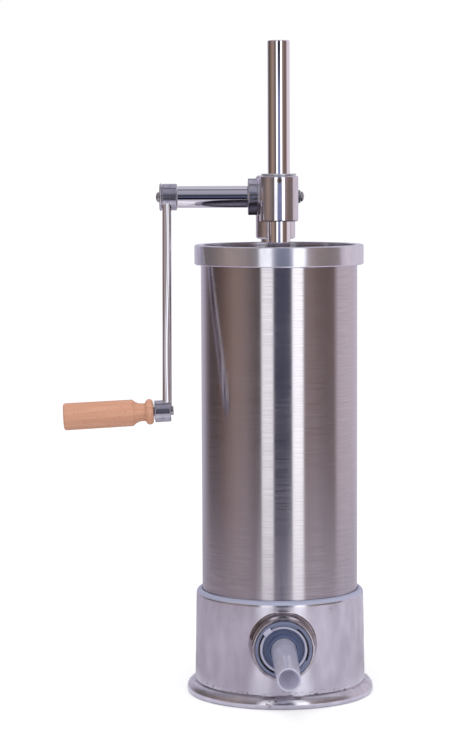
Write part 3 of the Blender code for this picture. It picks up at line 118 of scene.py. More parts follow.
def cleaned(shape):
    bmesh.ops.remove_doubles(shape, verts=shape.verts[:], dist=weldGap)
    bmesh.ops.recalc_face_normals(shape, faces=shape.faces[:])
    return shape


def turned(sizes, corners, steps=96, ring=False, fillet=5):
    # turns an outline about Z; a ring's outline is closed, and any other starts and ends on Z;
    # a name in a corner stands for the piece's size of that name
    corners = [[sizes.get(value, value) for value in corner] for corner in corners]
    shape = bmesh.new()
    verts = [shape.verts.new((point.x * mm, 0.0, point.y * mm))
             for point in filleted(corners, ring, fillet)]
    edges = [shape.edges.new(pair) for pair in zip(verts, verts[1:])]
    if ring:
        edges.append(shape.edges.new((verts[-1], verts[0])))
    bmesh.ops.spin(shape, geom=verts + edges, cent=(0, 0, 0), axis=(0, 0, 1), angle=2 * pi,
                   steps=steps, use_merge=True)
    return cleaned(shape)


def softened(shape, edges, radius, segments):
    bmesh.ops.bevel(shape, geom=edges, offset=radius * mm, segments=segments, profile=0.5,
                    affect='EDGES', material=-1)
    return shape


def sector(inner, outer, low, high, start, end, steps, soften=0.3):
    # a block bent round Z, from one angle in degrees to another
    shape = bmesh.new()
    turn = Matrix.Rotation(radians(start), 3, 'Z')
    verts = [shape.verts.new(turn @ Vector((across * mm, 0.0, along * mm)))
             for across, along in ((inner, low), (outer, low), (outer, high), (inner, high))]
    bmesh.ops.spin(shape, geom=[shape.faces.new(verts)], cent=(0, 0, 0), axis=(0, 0, 1),
                   angle=radians(end - start), steps=steps)
    cleaned(shape)
    rightAngled = [edge for edge in shape.edges if edge.calc_face_angle(0.0) > 1.0]
    return softened(shape, rightAngled, soften, 2)


def block(low, high, rounding=0.0, segments=3):
    shape = bmesh.new()
    bmesh.ops.create_cube(shape, size=1.0)
    low, high = Vector(low) * mm, Vector(high) * mm
    bmesh.ops.scale(shape, vec=high - low, verts=shape.verts)
    bmesh.ops.translate(shape, vec=(high + low) / 2, verts=shape.verts)
    return softened(shape, shape.edges[:], rounding, segments) if rounding else shape


def prism(sides, radius, low, high):
    shape = bmesh.new()
    bmesh.ops.create_cone(shape, cap_ends=True, segments=sides, radius1=radius * mm,
                          radius2=radius * mm, depth=(high - low) * mm)
    bmesh.ops.translate(shape, vec=(0.0, 0.0, (high + low) / 2 * mm), verts=shape.verts)
    return shape


def moved(shape, matrix):
    bmesh.ops.transform(shape, matrix=matrix, verts=shape.verts)
    return shape


def looseObject(name, shape):
    mesh = bpy.data.meshes.new(name)
    shape.to_mesh(mesh)
    shape.free()
    made = bpy.data.objects.new(name, mesh)
    scene.collection.objects.link(made)
    return made


def combined(body, joins=(), cuts=()):
    # exact Booleans, each followed by a weld, kept as one new shape
    whole = looseObject("body", body)
    tools = []
    for operation, shapes in (('UNION', joins), ('DIFFERENCE', cuts)):
        for shape in shapes:
            tools.append(looseObject("tool", shape))
            step = whole.modifiers.new("step", 'BOOLEAN')
            step.operation = operation
            step.object = tools[-1]
            whole.modifiers.new("weld", 'WELD').merge_threshold = weldGap
    bpy.context.view_layer.update()
    result = bmesh.new()
    result.from_mesh(whole.evaluated_get(bpy.context.evaluated_depsgraph_get()).data)
    for tool in tools + [whole]:
        bpy.data.objects.remove(tool, do_unlink=True)
    bmesh.ops.dissolve_degenerate(result, dist=weldGap / 2, edges=result.edges[:])
    return result


def wrapUv(shape, radius):
    # u runs round Z and v along it, both in metres on a surface of that radius
    layer = shape.loops.layers.uv.new("wrap")
    for face in shape.faces:
        turns = [atan2(loop.vert.co.y, loop.vert.co.x) for loop in face.loops]
        for loop, turn in zip(face.loops, turns):
            if max(turns) - turn > pi:
                turn += 2 * pi
            loop[layer].uv = (turn * radius * mm, loop.vert.co.z)
    return shape


def addPiece(name, shape, place, material, body, stands, sharp=32.0):
    piece = looseObject(name, moved(shape, place))
    piece.data.shade_smooth()
    piece.data.set_sharp_from_angle(angle=radians(sharp))
    # long faces keep their own shading beside the small roundings at their ends
    piece.modifiers.new("normals", 'WEIGHTED_NORMAL').keep_sharp = True
    piece.data.materials.append(material)
    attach(piece, body)
    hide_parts(stands)


# Materials

noiseRange = (0.3, 0.7)      # where nearly all of a noise's values lie


def hexColour(code):
    channels = [int(code[i:i + 2], 16) / 255 for i in (1, 3, 5)]
    linear = [share / 12.92 if share <= 0.04045 else ((share + 0.055) / 1.055) ** 2.4
              for share in channels]
    return (*linear, 1.0)


def patternScale(*sizes):
    return [1.0 / (size * mm) for size in sizes]


def setInputs(node, inputs):
    # inputs go to sockets by name, or in order to the sockets in use; an input is a number,
    # a vector, a hex colour, a socket, or a node for its first output in use
    inUse = [socket for socket in node.inputs if socket.enabled]
    for key, value in inputs.items() if isinstance(inputs, dict) else enumerate(inputs):
        socket = inUse[key] if isinstance(key, int) else node.inputs[key]
        if isinstance(value, bpy.types.Node):
            value = next(output for output in value.outputs if output.enabled)
        if isinstance(value, bpy.types.NodeSocket):
            node.id_data.links.new(value, socket)
        else:
            socket.default_value = hexColour(value) if isinstance(value, str) else value


def addNode(tree, kind, inputs=(), **settings):
    node = tree.nodes.new("ShaderNode" + kind)
    for name, value in settings.items():
        setattr(node, name, value)
    setInputs(node, inputs)
    return node


def newMaterial(name, **values):
    material = bpy.data.materials.new(name)
    material.use_nodes = True
    shader = material.node_tree.nodes["Principled BSDF"]
    for key, value in values.items():
        shader.inputs[key.replace("_", " ")].default_value = value
    return material, shader, partial(addNode, material.node_tree)


# stainless sheet, rolled and brushed round the tank: the fine scratches pull every reflection
# out into an upright band, and the bands' sides stay fairly crisp; darker near the base
def brushedStainless():
    look = {"colour": "#cbc7ce", "dark": "#bfbac1", "lowColour": "#c0bbc1", "lowDark": "#b4afb5",
            "lowFrom": 110.0, "lowTo": 330.0, "scratchGap": 1.1, "scratchLength": 33.33,
            "roughness": (0.15, 0.25), "cloudy": 0.015, "cloudSize": (71.43, 33.33),
            "spread": 0.97, "bump": 0.002}
    material, shader, add = newMaterial("brushedStainless", Metallic=1.0,
                                        Anisotropic=look["spread"], Anisotropic_Rotation=0.25)
    wrap = add("UVMap", uv_map="wrap")
    # real scratches lie about ten times as close, too fine to show
    scratches, clouds = (
        add("TexNoise", [add("Mapping", {"Vector": wrap, "Scale": patternScale(*sizes, 1000.0)}),
                         1.0, detail])
        for sizes, detail in (((look["scratchLength"], look["scratchGap"]), 4.0),
                              (look["cloudSize"], 2.0)))
    height = add("SeparateXYZ", [wrap]).outputs[1]
    rise = add("MapRange", [height, look["lowFrom"] * mm, look["lowTo"] * mm])
    scratched = add("MapRange", [scratches, *noiseRange])
    above = add("Mix", [scratched, look["colour"], look["dark"]], data_type='RGBA')
    below = add("Mix", [scratched, look["lowColour"], look["lowDark"]], data_type='RGBA')
    rough = add("MapRange", [scratches, *noiseRange, *look["roughness"]])
    uneven = add("MapRange", [clouds, *noiseRange, -look["cloudy"], look["cloudy"]])
    relief = {"Height": scratches, "Strength": 0.15, "Distance": look["bump"] * mm}
    setInputs(shader, {"Base Color": add("Mix", [rise, below, above], data_type='RGBA'),
                       "Roughness": add("Math", [rough, uneven], operation='ADD'),
                       "Tangent": add("Tangent", direction_type='UV_MAP', uv_map="wrap"),
                       "Normal": add("Bump", relief)})
    return material


# metal polished on a wheel: reflections stay whole, but their edges waver a little
def polishedMetal(name, colour, dark, roughness, wave, waveSize, clear=1.0, grain=0.0,
                  grainSize=1.2):
    material, shader, add = newMaterial(name, Metallic=clear)
    place = add("TexCoord").outputs["Object"]
    waves = add("TexNoise", [place, *patternScale(waveSize)])
    # patches are smaller than the waves, and longer upwards than across
    patchScale = patternScale(waveSize / 2.6, waveSize / 2.6, waveSize / 0.9)
    patches = add("TexNoise", [add("Mapping", {"Vector": place, "Scale": patchScale}), 1.0, 3.0])
    patchy = add("MapRange", [patches, *noiseRange])
    bump = add("Bump", {"Height": waves, "Strength": 0.4, "Distance": wave * mm})
    if grain:
        grit = add("TexNoise", [place, *patternScale(grainSize)])
        bump = add("Bump", {"Height": grit, "Strength": 0.4, "Distance": grain * mm,
                            "Normal": bump})
    setInputs(shader, {"Base Color": add("Mix", [patchy, colour, dark], data_type='RGBA'),
                       "Roughness": add("MapRange", [patches, *noiseRange, *roughness]),
                       "Normal": bump})
    return material


# sand-cast aluminium, machined and buffed: soft, uneven gloss, with brown tarnish left in
# places and dark grime in the joint over the foot; the cup's rim is dull, and painted pale
# blue-grey as a painted reflection of the ceiling
def castAluminium():
    look = {"colour": "#dad8e2", "dark": "#c1bdc8", "tarnish": "#63575a", "wave": 0.08,
            "roughness": (0.14, 0.22), "pit": 0.008, "pitSize": 1.111, "jointFrom": 10.4,
            "jointTo": 17.0, "jointShare": 0.9, "regionRange": (0.66, 0.74),
            "markRange": (0.56, 0.65), "rimPaintedReflection": "#aeb1c8", "rimFrom": 92.2,
            "rimRoughness": 0.42, "metallic": (0.92, 0.35)}
    patterns = (((16.67, 16.67, 40.0), 3.0, (0.0, 0.0, 0.0)),
                ((3.03, 3.03, 1.613), 4.0, (0.0, 0.0, 0.0)),
                ((45.45, 45.45, 33.33), 1.0, (0.37, 0.11, 0.05)))
    material, shader, add = newMaterial("castAluminium")
    place = add("TexCoord").outputs["Object"]
    height = add("SeparateXYZ", [place]).outputs[2]
    clouds, marks, region = (
        add("TexNoise", [add("Mapping", {"Vector": place, "Location": centre,
                                         "Scale": patternScale(*sizes)}), 1.0, detail])
        for sizes, detail, centre in patterns)
    pits = add("TexNoise", [place, *patternScale(look["pitSize"])])
    cloudy = add("MapRange", [clouds, *noiseRange])
    clean = add("Mix", [cloudy, look["colour"], look["dark"]], data_type='RGBA')
    joint = look["jointFrom"]
    overFoot = add("MapRange", [height, joint * mm, (joint + 1.0) * mm])
    underWall = add("MapRange", [height, (joint + 2.0) * mm, look["jointTo"] * mm,
                                 look["jointShare"], 0.0])
    inJoint = add("Math", [overFoot, underWall], operation='MULTIPLY')
    inRegion = add("MapRange", [region, *look["regionRange"]])
    dirty = add("Math", [inRegion, inJoint], operation='MAXIMUM')
    marked = add("MapRange", [marks, *look["markRange"]])
    stained = add("Math", [marked, dirty], operation='MULTIPLY')
    used = add("Mix", [stained, clean, look["tarnish"]], data_type='RGBA')
    # onRim paints the rim pale blue-grey, a painted reflection of the ceiling, and also makes it
    # dull
    onRim = add("MapRange", [height, look["rimFrom"] * mm, (look["rimFrom"] + 0.8) * mm])
    dull = add("Math", [onRim, look["rimRoughness"]], operation='MULTIPLY')
    gloss = add("MapRange", [clouds, *noiseRange, *look["roughness"]])
    soft = add("Bump", {"Height": clouds, "Strength": 0.5, "Distance": look["wave"] * mm})
    relief = {"Height": pits, "Strength": 0.5, "Distance": look["pit"] * mm, "Normal": soft}
    setInputs(shader, {
        "Base Color": add("Mix", [onRim, used, look["rimPaintedReflection"]], data_type='RGBA'),
        "Metallic": add("MapRange", [onRim, 0.0, 1.0, *look["metallic"]]),
        "Roughness": add("Math", [gloss, dull], operation='MAXIMUM'),
        "Normal": add("Bump", relief)})
    return material


# turned beech, unvarnished: pale pinkish brown with short darker rays along the grain
def beech():
    look = {"colour": "#cb9c84", "late": "#ba856b", "ray": "#96593f", "ringSize": (3.2, 83.33),
            "fibreSize": (0.7, 22.22), "raySize": (1.0, 3.0), "rayRange": (0.66, 0.74),
            "fibreShare": 0.35, "rayShare": 0.8, "bump": 0.03}
    material, shader, add = newMaterial("beech", Roughness=0.55, Specular_IOR_Level=0.35)
    wrap = add("UVMap", uv_map="wrap")
    rings, fibres, rays = (
        add("TexNoise", [add("Mapping", {"Vector": wrap, "Location": centre,
                                         "Scale": patternScale(*sizes, 1000.0)}), 1.0, detail])
        for sizes, detail, centre in ((look["ringSize"], 3.0, (0.0, 0.0, 0.0)),
                                      (look["fibreSize"], 3.0, (0.0, 0.0, 0.0)),
                                      (look["raySize"], 1.0, (3.7, 1.3, 0.0))))
    ringed = add("MapRange", [rings, *noiseRange])
    fibred = add("MapRange", [fibres, *noiseRange, 0.0, look["fibreShare"]])
    rayed = add("MapRange", [rays, *look["rayRange"], 0.0, look["rayShare"]])
    wood = add("Mix", [ringed, look["colour"], look["late"]], data_type='RGBA')
    wood = add("Mix", [fibred, wood, look["late"]], data_type='RGBA')
    relief = {"Height": fibres, "Strength": 0.4, "Distance": look["bump"] * mm}
    setInputs(shader, {"Base Color": add("Mix", [rayed, wood, look["ray"]], data_type='RGBA'),
                       "Normal": add("Bump", relief)})
    return material


# moulded plastic: even colour, satin, with the faint grain that a mould leaves
def moulded(name, colour, shade, roughness, grain=0.6, bump=0.01, cloudSize=11.11, **values):
    material, shader, add = newMaterial(name, **values)
    place = add("TexCoord").outputs["Object"]
    fine = add("TexNoise", [place, *patternScale(grain)])
    slow = add("TexNoise", [place, *patternScale(cloudSize)])
    shaded = add("MapRange", [slow, *noiseRange])
    satin = [fine, *noiseRange, roughness * 0.9, roughness * 1.1]
    relief = {"Height": fine, "Strength": 0.3, "Distance": bump * mm}
    setInputs(shader, {"Base Color": add("Mix", [shaded, colour, shade], data_type='RGBA'),
                       "Roughness": add("MapRange", satin), "Normal": add("Bump", relief)})
    return material


steelSheet = brushedStainless()
castMetal = castAluminium()
woodLook = beech()
# aluminium ring, turned and polished: bands with soft sides
rimMetal = polishedMetal("polishedAluminium", "#dedde8", "#d2d1dd", (0.15, 0.21), 0.04, 16.0, 0.89)
# cast aluminium, buffed to a near mirror with slow waves
headMetal = polishedMetal("buffedAluminium", "#dfdde6", "#d2cfd9", (0.07, 0.11), 0.03, 14.0, 0.95)
# aluminium, tumbled: grey, with a fine grain
satinMetal = polishedMetal("tumbledAluminium", "#d6d4de", "#bcb9c5", (0.16, 0.25), 0.04, 6.0,
                           grain=0.02)
# steel, sanded by hand: dull and patchy
hubMetal = polishedMetal("sandedSteel", "#c6c4ce", "#a9a6b3", (0.12, 0.20), 0.06, 10.0, 0.94)
# aluminium, turned and left bright: dark, sharp reflections
outletMetal = polishedMetal("machinedAluminium", "#b9b4bb", "#8d8389", (0.05, 0.09), 0.05, 12.0,
                            0.96)
# steel: bright on screw heads, soft where it is turned, pale and dull where it is satin
screwSteel = polishedMetal("brightSteel", "#c9c7ce", "#a19ea8", (0.08, 0.14), 0.02, 3.0)
plainSteel = polishedMetal("turnedSteel", "#b9b7ba", "#a5a2a5", (0.22, 0.30), 0.01, 5.0)
satinSteel = polishedMetal("satinSteel", "#d0d1dc", "#c2c3cf", (0.30, 0.40), 0.01, 5.0, 0.8)
# chrome plate: a clear mirror
chromeLook = polishedMetal("brightChrome", "#f0eef3", "#f0eef3", (0.03, 0.05), 0.004, 30.0)
# brass and oiled bronze, turned: warm and fairly dull
brassLook = polishedMetal("turnedBrass", "#a08f78", "#86755f", (0.24, 0.34), 0.01, 4.0)
bronzeLook = polishedMetal("sinteredBronze", "#a07a4e", "#86623c", (0.38, 0.48), 0.02, 3.0)
rubberLook = moulded("paleRubber", "#d8d5cc", "#cdc9bf", 0.7, 0.8, 0.02)
greyPlastic = moulded("blueGreyPolypropylene", "#6f7590", "#666c86", 0.36)
bluePlastic = moulded("darkBluePolypropylene", "#5c6687", "#555f80", 0.40)
palePlastic = moulded("palePolypropylene", "#b3b2c6", "#a6a5bb", 0.3)
nylonLook = moulded("nylon", "#e3e1d8", "#dad7cd", 0.5)
# natural polypropylene: milky, glows from inside where light comes through the wall
milkyPlastic = moulded("milkyPolypropylene", "#e2e1ee", "#d8d7e6", 0.08, 2.5, 0.003, IOR=1.49,
                       Transmission_Weight=0.6)
milkyTree = milkyPlastic.node_tree
through = addNode(milkyTree, "BsdfTranslucent", {"Color": "#e4e2f0"})
milky = addNode(milkyTree, "MixShader", [0.22, milkyTree.nodes["Principled BSDF"], through])
setInputs(milkyTree.nodes["Material Output"], {"Surface": milky})
print("materials made")


# Base: cast cup with a rolled foot, a rounded band at the top and a ledge for the tank

base = {"height": 96.0, "topRadius": 76.7, "topRound": 4.5, "lowRadius": 78.1, "footHeight": 11.4,
        "footStep": 0.5, "footRadius": 85.6, "footWidest": 3.5, "footEdge": 2.6,
        "seatRadius": 71.5, "ledge": 77.0, "cavityRadius": 66.5, "floorTop": 33.0,
        "hollowTop": 28.0, "hollowRadius": 72.0, "wallRows": 30, "steps": 288}


def wallRadius(z):
    share = (z - base["footHeight"]) / (base["height"] - base["footHeight"])
    return base["lowRadius"] + (base["topRadius"] - base["lowRadius"]) * share


def baseOutline():
    foot, widest, rows = base["footHeight"], base["footWidest"], base["wallRows"]
    wallTop = base["height"] - base["topRound"] - 1.0
    heights = [wallTop - (wallTop - foot) * row / rows for row in range(rows)] + [foot]
    rollX = base["lowRadius"] + base["footStep"]
    edgeX = base["footRadius"] - base["footEdge"]
    return [(0.0, "floorTop"), ("cavityRadius", "floorTop", 4.0), ("cavityRadius", "ledge", 0.6),
            ("seatRadius", "ledge"), ("seatRadius", "height", 0.5),
            ("topRadius", "height", "topRound"), *((wallRadius(z), z) for z in heights),
            *arcPoints((rollX, widest), (base["footRadius"] - rollX, foot - widest), 90, 0, 12),
            *arcPoints((edgeX, widest), (base["footEdge"], widest), -15, -90, 5),
            ("hollowRadius", 0.0, 1.0), ("hollowRadius", "hollowTop", 3.0), (0.0, "hollowTop")]


outlet = {"radius": 28.3, "lip": 2.8, "flare": 3.0, "face": 97.5, "faceRound": 1.7, "seat": 84.0,
          "bore": 16.5, "root": 58.0, "flareEnd": 80.0, "sunk": 0.12, "steps": 128}
toOutlet = uprightFrame.inverted() @ outletFrame


def outletCut():
    wide = outlet["radius"] - outlet["lip"] - 0.4
    narrow = outlet["bore"] + 0.5
    return turned(outlet, [(0.0, 100.0), (wide, 100.0), (wide, outlet["seat"] - 3.0),
                           (narrow, 70.0), (narrow, 30.0), (0.0, 30.0)], 64)


def outletBoss():
    radius, flare = outlet["radius"], outlet["flare"]
    foot, inner = radius + flare, radius - outlet["lip"]
    curve = arcPoints((foot, outlet["flareEnd"]), (flare, flare), 180, 270, 8)
    shape = turned(outlet, [("bore", "root"), (foot, "root"), *reversed(curve),
                            ("radius", "face", "faceRound"), (inner, "face", 0.5),
                            (inner, "seat"), ("bore", "seat")], outlet["steps"], ring=True)
    # the flare's foot follows the round wall
    for vert in shape.verts:
        across = vert.co.xy.length / mm
        if across > radius + 0.001 and vert.co.z > (outlet["root"] + 1.0) * mm:
            rise = sqrt(max(0.0, 1.0 - (1.0 - (across - radius) / flare) ** 2))
            lift = flare * (1.0 - rise) - outlet["sunk"]
            wall = wallRadius(outletHeight + vert.co.y / mm)
            vert.co.z = (sqrt(wall ** 2 - (vert.co.x / mm) ** 2) + lift) * mm
    return shape


cup = turned(base, baseOutline(), base["steps"], fillet=6)
addPiece("base_cup", combined(cup, cuts=[moved(outletCut(), toOutlet)]), uprightFrame, castMetal,
         "frame", "base_casting")
cupInside = turned(base, [(0.0, 120.0), ("seatRadius", 120.0), ("seatRadius", "ledge"),
                          ("cavityRadius", "ledge"), ("cavityRadius", "floorTop"),
                          (0.0, "floorTop")], 144)
cupHollow = turned(base, [(0.0, "hollowTop"), ("hollowRadius", "hollowTop"),
                          ("hollowRadius", -5.0), (0.0, -5.0)], 144)
addPiece("outlet_boss", combined(moved(outletBoss(), toOutlet), cuts=[cupInside, cupHollow]),
         uprightFrame, outletMetal, "frame", "base_casting")

column = {"y": 94.0, "radius": 14.0, "wall": 2.5, "low": 10.3, "high": 465.7, "gap": 0.3,
          "socketRadius": 21.0, "socketTop": 80.0, "footRadius": 26.0, "footHeight": 8.0,
          "webWidth": 30.0, "webFront": 76.0, "webTop": 72.0, "screwHeight": 45.0, "screwWay": 3.3}
columnFrame = upAt(0.0, column["y"])
columnHole, holeLow = column["radius"] + column["gap"], column["low"] - column["gap"]
socketShape = turned(column, [
    (0.0, holeLow), (columnHole, holeLow), (columnHole, "socketTop", 0.6),
    ("socketRadius", "socketTop", 2.0), ("socketRadius", "footHeight", 3.0),
    ("footRadius", "footHeight", 2.5), ("footRadius", 0.0), (0.0, 0.0)])
webShape = block((-column["webWidth"] / 2, column["webFront"] - column["y"], 0.0),
                 (column["webWidth"] / 2, -3.0, column["webTop"]), 3.0)
screwWay = moved(turned(column, [(0.0, 0.0), ("screwWay", 0.0), ("screwWay", 40.0), (0.0, 40.0)],
                        32), lifted(column["screwHeight"]) @ quarterTurn('X', -1))
socketShape = combined(socketShape, joins=[webShape],
                       cuts=[prism(96, columnHole, holeLow, 120.0), screwWay])
addPiece("column_socket", socketShape, columnFrame, castMetal, "frame",
         "base_casting")
tubeInside = column["radius"] - column["wall"]
tubeShape = turned(column, [(tubeInside, "low"), ("radius", "low", 0.4), ("radius", "high", 0.4),
                            (tubeInside, "high")], 128, ring=True)
addPiece("column_tube", tubeShape, columnFrame, chromeLook, "frame", "rear_column")
print("base and column made")


# Tank and its rim

tank = {"radius": 71.2, "wall": 1.0, "low": 80.6, "high": 407.6, "steps": 288}
rim = {"radius": 77.0, "low": 393.0, "top": 411.0, "round": 1.3, "lipRound": 0.9, "gap": 0.3}
tankInside = tank["radius"] - tank["wall"]
tankShape = turned(tank, [(tankInside, "low"), ("radius", "low"), ("radius", "high"),
                          (tankInside, "high")], tank["steps"], ring=True)
addPiece("tank_sheet", wrapUv(tankShape, tank["radius"]), uprightFrame, steelSheet, "frame",
         "tank_cylinder")
hold, lipLow = tank["radius"] + rim["gap"], tank["high"] + rim["gap"]
rimShape = turned(rim, [(hold, "low", 0.3), ("radius", "low", "round"), ("radius", "top", "round"),
                        (tankInside, "top", "lipRound"), (tankInside, lipLow), (hold, lipLow)],
                  tank["steps"], ring=True)
addPiece("rim_ring", rimShape, uprightFrame, rimMetal, "frame", "tank_rim")
print("tank made")


# Head: sleeve for the rack, cross boss for the shaft, socket on the column, all one casting

head = {"low": 432.0, "top": 473.0, "sleeveRadius": 17.7, "socketRadius": 18.75,
        "socketLow": 413.0, "bossRadius": 17.0, "bossLeft": -18.9, "bossRight": 18.0,
        "pocketRadius": 14.2, "pocketRight": 9.0, "bearingHole": 8.1, "webWidth": 27.0,
        "webLow": 434.0, "webTop": 470.0, "bushHole": 13.3, "rackHole": 10.6,
        "lowBushTop": 439.3, "highBushLow": 461.7, "columnTop": 466.0, "screwHole": 3.3,
        "screwHeight": 443.0, "bushScrewHole": 2.1, "bushScrewHeight": 468.9, "past": 2.0}
shaftY = (crankPlace.y - tankFoot.y) / mm
shaftZ = crankPlace.z / mm
toShaft = uprightFrame.inverted() @ shaftFrame
toColumn = uprightFrame.inverted() @ columnFrame


def gearPocket():
    start = head["bossLeft"] - head["past"]
    return moved(turned(head, [(0.0, start), ("pocketRadius", start),
                               ("pocketRadius", "pocketRight"), (0.0, "pocketRight")]), toShaft)


sleeve = turned(head, [(0.0, "low"), ("sleeveRadius", "low", 1.2), ("sleeveRadius", "top", 1.4),
                       (0.0, "top")], 128)
boss = moved(turned(head, [(0.0, "bossLeft"), ("bossRadius", "bossLeft", 0.6),
                           ("bossRadius", "bossRight", 1.5), (0.0, "bossRight")], 128), toShaft)
socket = moved(turned(head, [(0.0, "socketLow"), ("socketRadius", "socketLow", 2.5),
                             ("socketRadius", "top", 3.0), (0.0, "top")], 128), toColumn)
web = block((-head["webWidth"] / 2, shaftY, head["webLow"]),
            (head["webWidth"] / 2, column["y"], head["webTop"]), 3.0)
wayLow, wayTop = head["low"] - head["past"], head["top"] + head["past"]
rackWay = turned(head, [
    (0.0, wayLow), ("bushHole", wayLow), ("bushHole", "lowBushTop"), ("rackHole", "lowBushTop"),
    ("rackHole", "highBushLow"), ("bushHole", "highBushLow"), ("bushHole", wayTop), (0.0, wayTop)])
bearingWay = moved(prism(64, head["bearingHole"], head["pocketRight"] - head["past"],
                         head["bossRight"] + head["past"]), toShaft)
columnWay = moved(prism(96, columnHole, head["socketLow"] - head["past"], head["columnTop"]),
                  toColumn)
backScrewWay = moved(prism(32, head["screwHole"], 0.0, 30.0),
                     toColumn @ lifted(head["screwHeight"]) @ quarterTurn('X', -1))
frontScrewWay = moved(prism(32, head["bushScrewHole"], 13.0, 24.0),
                      lifted(head["bushScrewHeight"]) @ quarterTurn('X'))
headShape = combined(sleeve, joins=[boss, web, socket], cuts=[
    rackWay, gearPocket(), bearingWay, columnWay, backScrewWay, frontScrewWay])
addPiece("head_body", headShape, uprightFrame, headMetal, "frame",
         "head_casting")

bush = {"bore": 10.3, "radius": 13.0, "low": 462.0, "flangeRadius": 15.8, "flangeLow": 473.3,
        "top": 475.1}
bushShape = turned(bush, [("bore", "low"), ("radius", "low"), ("radius", "flangeLow"),
                          ("flangeRadius", "flangeLow", 0.3), ("flangeRadius", "top", 0.5),
                          ("bore", "top", 0.3)], ring=True)
addPiece("guide_bush", combined(bushShape, cuts=[gearPocket()]), uprightFrame, satinSteel, "frame",
         "upper_guide_bush")

bushScrew = {"radius": 1.8, "inner": 13.3, "outer": 16.3, "key": 0.95, "keyDepth": 0.9}
screwFront = towards(tankFoot + Vector((0.0, 0.0, head["bushScrewHeight"] * mm)),
                     Vector((0.0, -1.0, 0.0)))
brassShape = turned(bushScrew, [(0.0, "inner"), ("radius", "inner"), ("radius", "outer", 0.3),
                                (0.0, "outer")], 48)
keyWay = prism(6, bushScrew["key"], bushScrew["outer"] - bushScrew["keyDepth"],
               bushScrew["outer"] + bushScrew["keyDepth"])
addPiece("bush_screw", combined(brassShape, cuts=[keyWay]), screwFront, brassLook, "frame",
         "bush_set_screw")

cap = {"left": -27.7, "right": -19.2, "radius": 16.7, "spigotRadius": 13.9, "spigotEnd": -10.3,
       "bore": 10.1, "ridges": 84, "ridgeDepth": 0.22}
capShape = turned(cap, [("bore", "left", 0.3), ("radius", "left", 0.9), ("radius", "right", 0.5),
                        ("spigotRadius", "right"), ("spigotRadius", "spigotEnd"),
                        ("bore", "spigotEnd")], cap["ridges"] * 2, ring=True)
for vert in capShape.verts:
    ridge = round(atan2(vert.co.y, vert.co.x) / pi * cap["ridges"])
    if vert.co.xy.length > (cap["radius"] - 0.3) * mm and ridge % 2:
        vert.co.xy *= 1.0 - cap["ridgeDepth"] / cap["radius"]
addPiece("cap_knurled", capShape, shaftFrame, satinMetal, "frame", "bearing_cap",
         sharp=50.0)
print("head made")


# Rack: chromed rod, and the piston in the tank

rack = {"radius": 10.0, "low": 203.3, "top": 595.0, "studRadius": 5.0, "studLow": 190.2,
        "land": 7.5, "pitch": 2 * pi, "root": 4.2, "halfRoot": 0.88, "halfOpen": 2.26,
        "open": 8.0, "reach": 12.0, "firstGap": -38, "lastGap": 18}


def rackCutters():
    first, last = (shaftZ + (rack[end] + 0.5) * rack["pitch"] for end in ("firstGap", "lastGap"))
    reach = rack["reach"]
    flat = block((-reach, rack["land"], first - 3.0), (reach, 14.0, last + 3.0))
    gaps = bmesh.new()
    corners = [(rack["root"], -rack["halfRoot"]), (rack["root"], rack["halfRoot"]),
               (rack["open"], rack["halfOpen"]), (rack["open"], -rack["halfOpen"])]
    side = gaps.faces.new([gaps.verts.new((-reach * mm, y * mm, (first + z) * mm))
                           for y, z in corners])
    grown = bmesh.ops.extrude_face_region(gaps, geom=[side])["geom"]
    bmesh.ops.translate(gaps, vec=(2 * reach * mm, 0.0, 0.0), verts=[
        item for item in grown if isinstance(item, bmesh.types.BMVert)])
    bmesh.ops.spin(gaps, geom=gaps.verts[:] + gaps.edges[:] + gaps.faces[:], cent=(0, 0, 0),
                   axis=(1, 0, 0), dvec=(0.0, 0.0, rack["pitch"] * mm), angle=0.0,
                   steps=rack["lastGap"] - rack["firstGap"], use_duplicate=True)
    bmesh.ops.recalc_face_normals(gaps, faces=gaps.faces[:])
    return flat, gaps


rodShape = turned(rack, [(0.0, "studLow"), ("studRadius", "studLow", 0.5), ("studRadius", "low"),
                         ("radius", "low", 0.3), ("radius", "top", 1.0), (0.0, "top")], 144)
addPiece("rack_bar", combined(rodShape, cuts=rackCutters()), uprightFrame, chromeLook, "rack",
         "rack_rod")

piston = {"low": 190.0, "top": 203.0, "radius": 67.5, "grooveRadius": 64.0, "grooveLow": 193.9,
          "grooveHigh": 199.1, "recessRadius": 14.0, "recessTop": 198.6, "hole": 5.3,
          "valveX": 38.0, "valveHole": 4.3}
plateShape = turned(piston, [
    ("recessRadius", "low", 0.6), ("radius", "low", 1.2), ("radius", "grooveLow", 0.2),
    ("grooveRadius", "grooveLow"), ("grooveRadius", "grooveHigh"), ("radius", "grooveHigh", 0.2),
    ("radius", "top", 1.2), ("hole", "top"), ("hole", "recessTop"), ("recessRadius", "recessTop")],
    192, ring=True)
valveWay = moved(prism(32, piston["valveHole"], 180.0, 210.0),
                 Matrix.Translation((piston["valveX"] * mm, 0.0, 0.0)))
addPiece("piston_disc", combined(plateShape, cuts=[valveWay]), uprightFrame, rimMetal, "rack",
         "piston_plate")
seal = {"inside": 64.3, "shoulder": 68.9, "radius": 69.9, "low": 194.2, "lowBand": 195.5,
        "highBand": 197.5, "high": 198.8}
sealShape = turned(seal, [("inside", "low"), ("shoulder", "low", 0.3), ("radius", "lowBand", 0.4),
                          ("radius", "highBand", 0.4), ("shoulder", "high", 0.3),
                          ("inside", "high")], 192, ring=True)
addPiece("piston_ring", sealShape, uprightFrame, rubberLook, "rack", "piston_gasket")
valve = {"bore": 1.5, "stem": 4.0, "cap": 7.0, "low": 190.0, "seat": 203.3, "top": 206.3}
valveShape = turned(valve, [("bore", "low"), ("stem", "low"), ("stem", "seat"),
                            ("cap", "seat", 0.4), ("cap", "top", 1.0), ("bore", "top", 0.4)],
                    64, ring=True)
addPiece("valve_plug", valveShape, upAt(piston["valveX"], 0.0), nylonLook, "rack",
         "air_valve")
